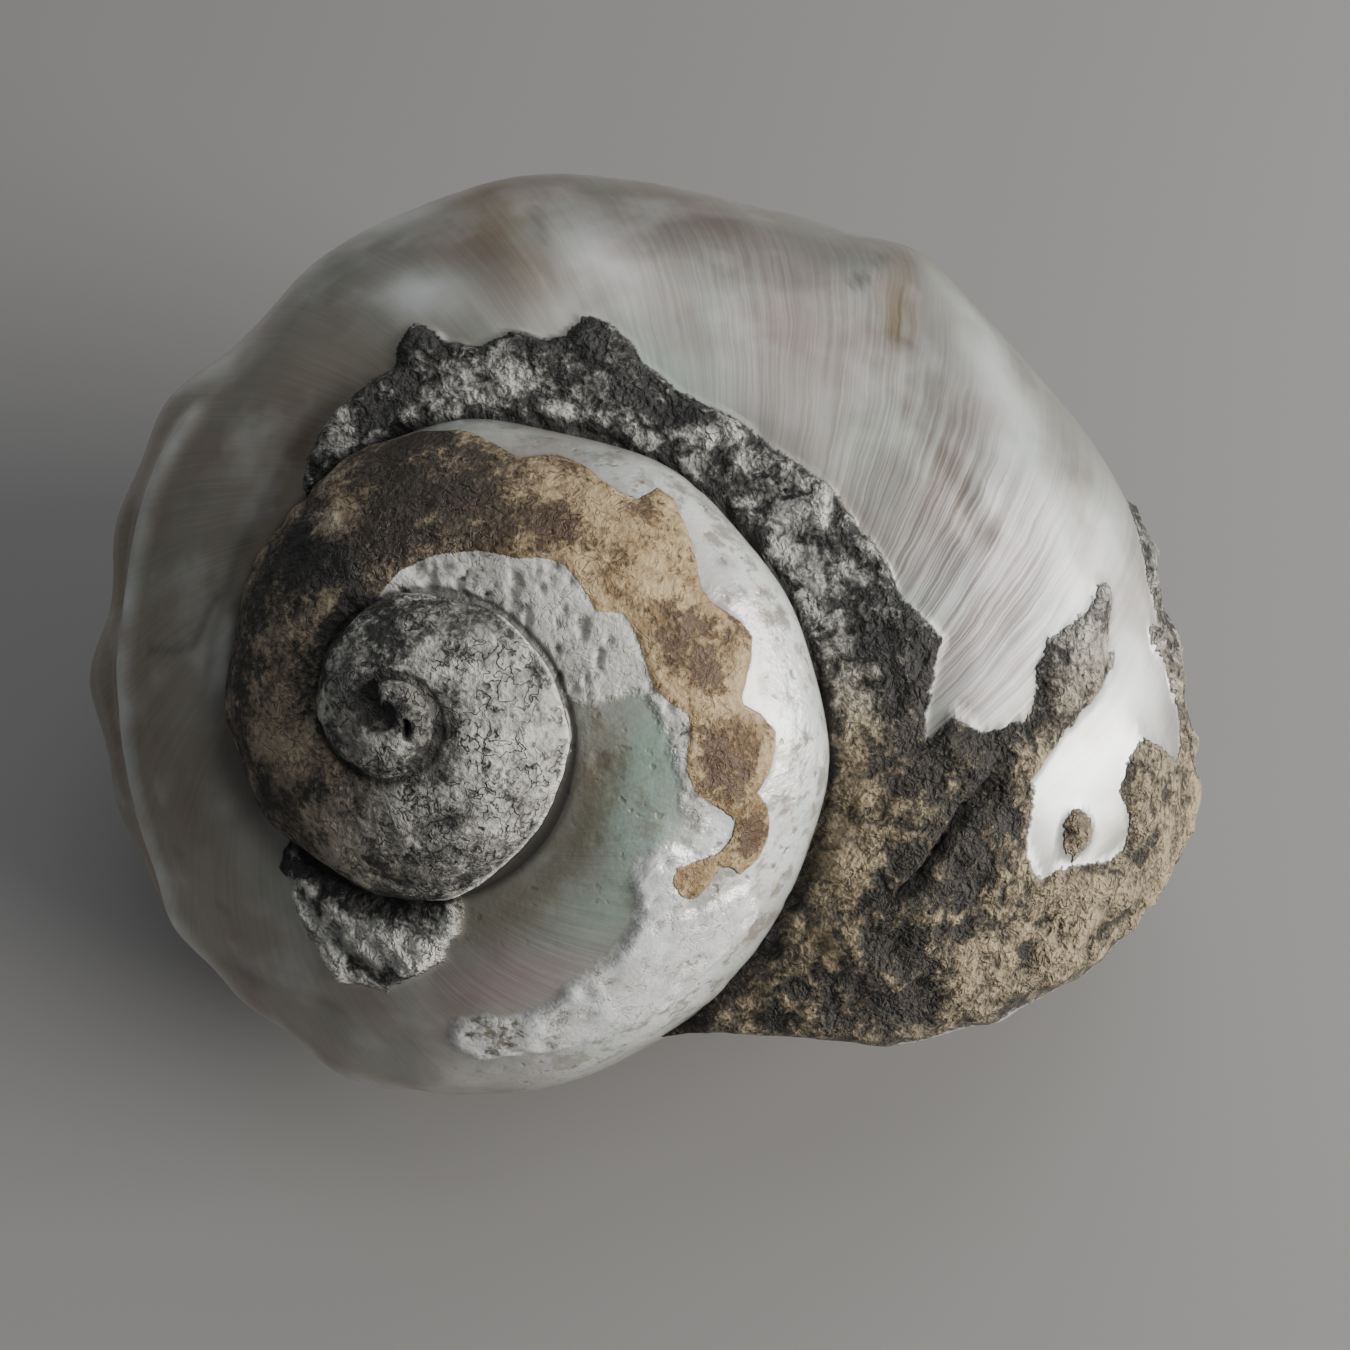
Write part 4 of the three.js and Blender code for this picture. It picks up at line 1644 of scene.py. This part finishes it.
@dataclass(frozen=True)
class Nacre:
    """Colours and gloss of the bare nacre."""

    light: Colour = (0.93, 0.94, 0.93)
    groove: Colour = (0.58, 0.52, 0.49)
    band: Colour = (0.72, 0.66, 0.62)
    smudge: Colour = (0.46, 0.42, 0.35)
    pit: Colour = (0.38, 0.35, 0.30)
    smoothest: float = 0.18
    roughest: float = 0.5
    gloss: float = 0.6
    weathered_gloss: float = 0.38
    inner_gloss: float = 0.6
    bumps: float = 0.08
    veils: tuple[Veil, ...] = (
        Veil((0.66, 0.62, 0.57), 0.48, 7.0, 4.0, 0.55, 0.42, 0.68),
        Veil((0.93, 0.94, 0.93), 0.22, 6.0, 3.0, 0.5, 0.48, 0.78, mixed=True),
        Veil((1.0, 0.86, 0.87), 0.35, 7.0, 2.0, 0.5, 0.48, 0.66),
        Veil((0.86, 1.0, 0.96), 0.5, 5.5, 1.0, 0.5, 0.5, 0.68),
    )


NACRE = Nacre()


@dataclass(frozen=True)
class Look:
    """Sockets of a surface, from the nacre up to the layers laid so far."""

    colour: object
    rough: object
    height: object
    gloss: object


class ShellMaterial:
    """One material in layers: nacre, chalk, brown skin, old spire and crust."""

    RUBBLE = ("Coarse", "Medium", "Fine", "Mottle", "Vein", "Pit", "Pebble")

    def __init__(self) -> None:
        """Make the groups that the layers share."""
        self.edge = self.make_edge()
        self.rubble = self.make_rubble()
        self.grain = self.make_grain()
        self.nacre = self.make_nacre()

    @staticmethod
    def make_edge() -> Group:
        """Patch edge with fine raggedness.

        Returns:
            A group from distance to mask.
        """
        group = Group(
            "patch_edge",
            {"Distance": ("value", 0.0), "Medium": ("value", 0.5), "Fine": ("value", 0.5),
             "Ragged": ("value", 0.5), "Softness": ("value", 0.12)},
            {"Mask": "value"},
        )
        w, i = group.nodes, group.inputs
        wobble = w.minus(w.blend(0.4, i["Medium"], i["Fine"]), 0.5)
        moved = w.plus(i["Distance"], w.times(wobble, i["Ragged"]))
        start = w.times(i["Softness"], -1.0)
        w.feed(group.outputs["Mask"], w.ramp(moved, start, i["Softness"]))
        return group

    @classmethod
    def make_rubble(cls) -> Group:
        """Noise that all the rough layers share.

        Returns:
            A group from position to lumps, veins and pits.
        """
        group = Group(
            "rubble", {"Place": ("vector", None)}, {label: "value" for label in cls.RUBBLE}
        )
        w, i = group.nodes, group.inputs
        warp = w.tree.nodes.new("ShaderNodeTexNoise")
        w.feed(warp.inputs["Vector"], i["Place"])
        warp.inputs["Scale"].default_value = 0.8
        warp.inputs["Detail"].default_value = 2.0
        bent = w.tree.nodes.new("ShaderNodeVectorMath")
        bent.operation = "MULTIPLY_ADD"
        w.feed(bent.inputs[0], warp.outputs["Color"])
        bent.inputs[1].default_value = (1.6, 1.6, 1.6)
        w.feed(bent.inputs[2], i["Place"])
        place = bent.outputs[0]
        w.feed(group.outputs["Coarse"], w.noise(i["Place"], 4.0, 4.0))
        w.feed(group.outputs["Medium"], w.noise(place, 1.5, 5.0, 0.6))
        w.feed(group.outputs["Fine"], w.noise(i["Place"], 0.38, 2.0))
        w.feed(group.outputs["Mottle"], w.noise(place, 2.0, 8.0, 0.74))
        ridge = w.math("ABSOLUTE", w.minus(w.noise(place, 0.95, 1.5), 0.5))
        line = w.minus(1.0, w.ramp(ridge, 0.0, 0.035))
        where = w.ramp(w.noise(i["Place"], 2.6, 1.0), 0.4, 0.55)
        w.feed(group.outputs["Vein"], w.times(line, where))
        pits = w.minus(1.0, w.ramp(w.cells(place, 1.2), 0.08, 0.3))
        spread = w.ramp(w.noise(i["Place"], 2.0, 0.0), 0.42, 0.58)
        w.feed(group.outputs["Pit"], w.times(pits, spread))
        cells = w.sum((w.cells(place, 1.7), 0.65), (w.cells(place, 0.7), 0.35))
        w.feed(group.outputs["Pebble"], w.minus(1.0, cells))
        return group

    @classmethod
    def make_grain(cls) -> Group:
        """Granular surface of three colours.

        Returns:
            A group from rubble and colours to colour and height.
        """
        group = Group(
            "grain",
            {**{label: ("value", 0.5) for label in cls.RUBBLE}, "Dark": ("colour", None),
             "Middle": ("colour", None), "Light": ("colour", None), "Darkness": ("value", 0.5),
             "Lightness": ("value", 0.5), "Veins": ("value", 0.5), "Softness": ("value", 0.1),
             "Lump": ("value", 0.0), "Pebbles": ("value", 0.0)},
            {"Color": "colour", "Height": "value"},
        )
        w, i = group.nodes, group.inputs
        pebbles = w.times(w.minus(i["Pebble"], 0.55), i["Pebbles"])
        body = w.sum(
            (i["Coarse"], 0.2), (i["Medium"], 0.6), (i["Fine"], 0.2), (i["Lump"], 0.1),
            (pebbles, 0.3),
        )
        light_at = w.minus(0.66, w.times(i["Lightness"], 0.3))
        lightness = w.ramp(
            body, w.minus(light_at, i["Softness"]), w.plus(light_at, i["Softness"])
        )
        colour = w.mix(lightness, i["Middle"], i["Light"])
        speckled = w.sum((i["Mottle"], 0.75), (i["Fine"], 0.25), (i["Lump"], 0.12), (pebbles, 0.35))
        dark_at = w.plus(0.28, w.times(i["Darkness"], 0.42))
        darkness = w.ramp(speckled, w.plus(dark_at, 0.07), w.minus(dark_at, 0.07))
        lines = w.times(i["Vein"], i["Veins"])
        holes = w.times(i["Pit"], i["Veins"])
        for mask, share in ((darkness, 0.94), (lines, 0.8), (holes, 0.75)):
            colour = w.mix(w.times(mask, share), colour, i["Dark"])
        w.feed(group.outputs["Color"], colour)
        w.feed(group.outputs["Height"], w.sum(
            (i["Medium"], 1.1), (i["Fine"], 0.35), (pebbles, 1.2), (lines, -0.3), (holes, -0.4),
            (darkness, -0.2),
        ))
        return group

    @staticmethod
    def make_nacre() -> Group:
        """Nacre with growth lines, flecks and faint bands of colour.

        Returns:
            A group from growth line and tint to colour, height and roughness.
        """
        group = Group(
            "nacre",
            {"Growth": ("value", 0.0), "Row": ("value", 0.0), "Place": ("vector", None),
             "Tint": ("colour", None), "Striae": ("value", 0.2), "Flecks": ("value", 0.0),
             "Coarse": ("value", 0.5), "Fine": ("value", 0.5), "Pit": ("value", 0.0)},
            {"Color": "colour", "Height": "value", "Roughness": "value"},
        )
        w, i, nacre = group.nodes, group.inputs, NACRE
        along = w.plus(i["Growth"], w.times(i["Coarse"], 0.004))

        def streaks(
            per_turn: float, per_row: float, shift: float, detail: float, harshness: float = 0.5
        ) -> bpy.types.NodeSocket:
            """Add noise that is drawn out down the whorl.

            Args:
                per_turn: Streaks in a turn.
                per_row: Changes along a streak from seam to seam.
                shift: Number that sets it apart from other streaks.
                detail: Layers of finer noise.
                harshness: Strength of each finer layer beside the one before.

            Returns:
                Values from 0 to 1.
            """
            place = w.vector(w.times(along, per_turn), w.times(i["Row"], per_row), shift)
            return w.noise(place, 1.0, detail, harshness)

        lines = w.sum(
            (streaks(400.0, 2.0, 0.0, 3.0, 0.6), 0.55), (streaks(1100.0, 3.0, 3.0, 2.0), 0.45)
        )
        bands = w.ramp(streaks(45.0, 1.0, 7.0, 3.0), 0.45, 0.7)
        strength = w.plus(0.05, w.times(i["Striae"], 0.5))
        raised = w.times(w.ramp(lines, 0.42, 0.62), w.times(strength, 0.75))
        colour = w.mix(raised, i["Tint"], linear(nacre.light))
        sunk = w.times(w.ramp(lines, 0.5, 0.36), strength)
        colour = w.stain_and_shade(sunk, colour, nacre.groove)
        shading = w.times(bands, w.plus(0.1, w.times(i["Striae"], 0.3)))
        colour = w.stain_and_shade(shading, colour, nacre.band)
        for veil in nacre.veils:
            cloud = w.noise(i["Place"], veil.size, veil.detail, veil.harshness)
            share = w.times(w.ramp(cloud, veil.start, veil.end), veil.share)
            if veil.mixed:
                colour = w.mix(share, colour, linear(veil.colour))
            else:
                colour = w.stain_and_shade(share, colour, veil.colour)
        smudges = w.ramp(w.noise(i["Place"], 1.8, 5.0, 0.65), 0.48, 0.62)
        smudges = w.times(w.times(smudges, i["Flecks"]), 0.8)
        colour = w.mix(smudges, colour, linear(nacre.smudge))
        holes = w.times(i["Pit"], i["Flecks"])
        colour = w.mix(w.times(holes, 0.75), colour, linear(nacre.pit))
        w.feed(group.outputs["Color"], colour)
        flakes = w.times(i["Fine"], i["Flecks"])
        height = w.plus(w.times(lines, strength), w.sum((holes, -1.2), (flakes, 1.2)))
        w.feed(group.outputs["Height"], height)
        rough = w.blend(i["Coarse"], nacre.smoothest, nacre.roughest)
        w.feed(group.outputs["Roughness"], w.plus(rough, w.times(i["Striae"], 0.15)))
        return group

    def lay(
        self, w: Wiring, under: Look, mask: object, finish: Finish, given: dict[str, object]
    ) -> Look:
        """Lay one kind of surface over those below it.

        Args:
            w: Where to add nodes.
            under: What lies below.
            mask: 1 where this surface lies.
            finish: Its colours and grain.
            given: Rubble, lumps, soot with painted shade, and pale places.

        Returns:
            The look with this surface on top.
        """
        shares = {
            name: w.plus(start, w.times(given[extra], gain))
            for name, (start, gain), extra in (
                ("Darkness", finish.darkness, "Soot_and_shade"), ("Lightness", finish.lightness, "Pale"),
            )
        }
        grain = w.use(
            self.grain, **{label: given[label] for label in (*self.RUBBLE, "Lump")}, **shares,
            Dark=linear(finish.dark), Middle=linear(finish.middle), Light=linear(finish.light),
            Veins=finish.veins, Softness=finish.softness, Pebbles=finish.pebbles,
        )
        return Look(
            w.mix(mask, under.colour, grain["Color"]),
            w.blend(mask, under.rough, finish.roughness),
            w.blend(mask, under.height, w.times(grain["Height"], finish.bumps)),
            w.blend(mask, under.gloss, finish.gloss),
        )

    def build(self) -> bpy.types.Material:
        """Wire the layers together.

        Returns:
            The material.
        """
        material = bpy.data.materials.new("worn_shell")
        material.use_nodes = True
        tree = material.node_tree
        tree.nodes.clear()
        w = Wiring(tree)
        scaled = tree.nodes.new("ShaderNodeVectorMath")
        scaled.operation = "SCALE"
        w.feed(scaled.inputs[0], tree.nodes.new("ShaderNodeTexCoord").outputs["Object"])
        scaled.inputs["Scale"].default_value = 1 / MM
        place = scaled.outputs[0]
        rubble = w.use(self.rubble, Place=place)
        given = {label: rubble[label] for label in self.RUBBLE}
        given["Lump"], given["Pale"] = w.fact("lump"), w.fact("pale")
        given["Soot_and_shade"] = w.minus(w.fact("soot_and_shade"), w.times(given["Pale"], 0.8))

        stage, striae, flecks = w.fact("stage"), w.fact("striae"), w.fact("flecks")
        bare = w.use(
            self.nacre, Growth=w.fact("growth"), Row=w.fact("row"), Place=place,
            Tint=w.fact("tint", True), Striae=striae, Flecks=flecks, Coarse=rubble["Coarse"],
            Fine=rubble["Fine"], Pit=rubble["Pit"],
        )
        weathered = w.times(w.plus(striae, flecks), NACRE.weathered_gloss)
        look = Look(
            bare["Color"], bare["Roughness"], w.times(bare["Height"], NACRE.bumps),
            w.minus(NACRE.gloss, weathered),
        )
        for coating in COATINGS:
            mask = w.use(
                self.edge, Distance=w.fact(coating.layer.value), Medium=rubble["Medium"],
                Fine=rubble["Fine"], Ragged=coating.ragged, Softness=coating.softness,
            )["Mask"]
            look = self.lay(w, look, mask, coating.finish, given)
            if coating.other:
                part = w.ramp(stage, coating.other_from, coating.other_full)
                look = self.lay(w, look, w.times(mask, part), coating.other, given)

        # Painted highlight: the thin white line along the upper spire's lit edge.
        colour = w.mix(w.fact("rim_highlight"), look.colour, linear(PALE_NACRE_AND_HIGHLIGHT))
        # Dark stains and creases, and painted shade along the seams.
        colour = w.mix(w.times(w.fact("stain_and_shade"), 0.92), colour, linear(GRIME_AND_SHADE))
        principled = tree.nodes.new("ShaderNodeBsdfPrincipled")
        w.feed(principled.inputs["Base Color"], colour)
        w.feed(principled.inputs["Roughness"], look.rough)
        w.feed(principled.inputs["Metallic"], w.times(look.gloss, 0.7))
        coat = w.blend(w.fact("inside"), look.gloss, NACRE.inner_gloss)
        w.feed(principled.inputs["Coat Weight"], coat)
        principled.inputs["Coat Roughness"].default_value = 0.14
        principled.inputs["IOR"].default_value = 1.53
        bump = tree.nodes.new("ShaderNodeBump")
        bump.inputs["Strength"].default_value = 0.9
        bump.inputs["Distance"].default_value = MM
        w.feed(bump.inputs["Height"], look.height)
        w.feed(principled.inputs["Normal"], bump.outputs["Normal"])
        output = tree.nodes.new("ShaderNodeOutputMaterial")
        tree.links.new(principled.outputs[0], output.inputs["Surface"])
        return material


# ---- Studio ----


@dataclass(frozen=True)
class Panel:
    """A soft panel of light that faces the shell, placed in degrees and metres."""

    name: str
    azimuth: float
    elevation: float
    distance: float
    size: float
    power: float
    colour: Colour

    def build(self) -> bpy.types.Object:
        """Make the light.

        Returns:
            The light, in its place.
        """
        data = bpy.data.lights.new(self.name, "AREA")
        data.size, data.energy, data.color = self.size, self.power, self.colour
        lamp = bpy.data.objects.new(self.name, data)
        a, e = math.radians(self.azimuth), math.radians(self.elevation)
        way = Vector((math.cos(a) * math.cos(e), math.sin(a) * math.cos(e), math.sin(e)))
        lamp.location = way * self.distance + Vector((0, 0, 0.02))
        lamp.rotation_euler = way.to_track_quat("Z", "Y").to_euler()
        bpy.context.scene.collection.objects.link(lamp)
        return lamp


@dataclass(frozen=True)
class Studio:
    """Camera, table and light."""

    target: tuple[float, float, float] = (0.0009, -0.0014, 0.020)
    distance: float = 0.11178
    elevation: float = 63.54
    azimuth: float = -3.69
    roll: float = 4.1
    lens: float = 34.67
    table_reach: float = 1.2
    table_colour: Colour = (0.53, 0.52, 0.51)
    sky: tuple[float, float, float, float] = (0.9, 0.95, 1.0, 1)
    sky_strength: float = 0.2
    panels: tuple[Panel, ...] = (
        Panel("window", -12, 22, 0.55, 0.4, 6.5, (1.0, 0.985, 0.96)),
        Panel("sky", 75, 60, 0.6, 0.5, 1.3, (0.93, 0.96, 1.0)),
    )

    def build(self) -> None:
        """Make the camera, the table and the lights."""
        scene = bpy.context.scene
        data = bpy.data.cameras.new("camera")
        data.lens = self.lens
        data.clip_start = 0.005
        camera = bpy.data.objects.new("camera", data)
        a, e = math.radians(self.azimuth), math.radians(self.elevation)
        back = Vector((math.sin(a) * math.cos(e), -math.cos(a) * math.cos(e), math.sin(e)))
        camera.location = Vector(self.target) + back * self.distance
        turn = (-back).to_track_quat("-Z", "Y").to_matrix()
        roll = Matrix.Rotation(math.radians(self.roll), 3, "Z")
        camera.rotation_euler = (turn @ roll).to_euler()
        scene.collection.objects.link(camera)
        scene.camera = camera

        table = bpy.data.meshes.new("table")
        reach = self.table_reach
        table.from_pydata(
            [(-reach, -reach, 0), (reach, -reach, 0), (reach, reach, 0), (-reach, reach, 0)],
            [], [(0, 1, 2, 3)],
        )
        floor = bpy.data.objects.new("table", table)
        cloth = bpy.data.materials.new("pale_table")
        cloth.use_nodes = True
        shader = cloth.node_tree.nodes["Principled BSDF"]
        shader.inputs["Base Color"].default_value = linear(self.table_colour)
        shader.inputs["Roughness"].default_value = 0.9
        table.materials.append(cloth)
        scene.collection.objects.link(floor)

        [panel.build() for panel in self.panels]
        world = bpy.data.worlds.new("room")
        world.use_nodes = True
        background = world.node_tree.nodes["Background"]
        background.inputs["Color"].default_value = self.sky
        background.inputs["Strength"].default_value = self.sky_strength
        scene.world = world


def main() -> None:
    """Build the shell, dress it and set the studio."""
    form = Form()
    mesh = ShellMesh(form, Pose(), MeshSteps(), Relief(form, ReliefSizes()))
    piece = mesh.build("turban_shell", (low, high))
    piece.data.materials.append(ShellMaterial().build())
    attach(piece, "root")
    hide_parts("shell")
    Studio().build()


if __name__ == "__main__":
    logging.basicConfig(level=logging.INFO, format="%(message)s")
    main()
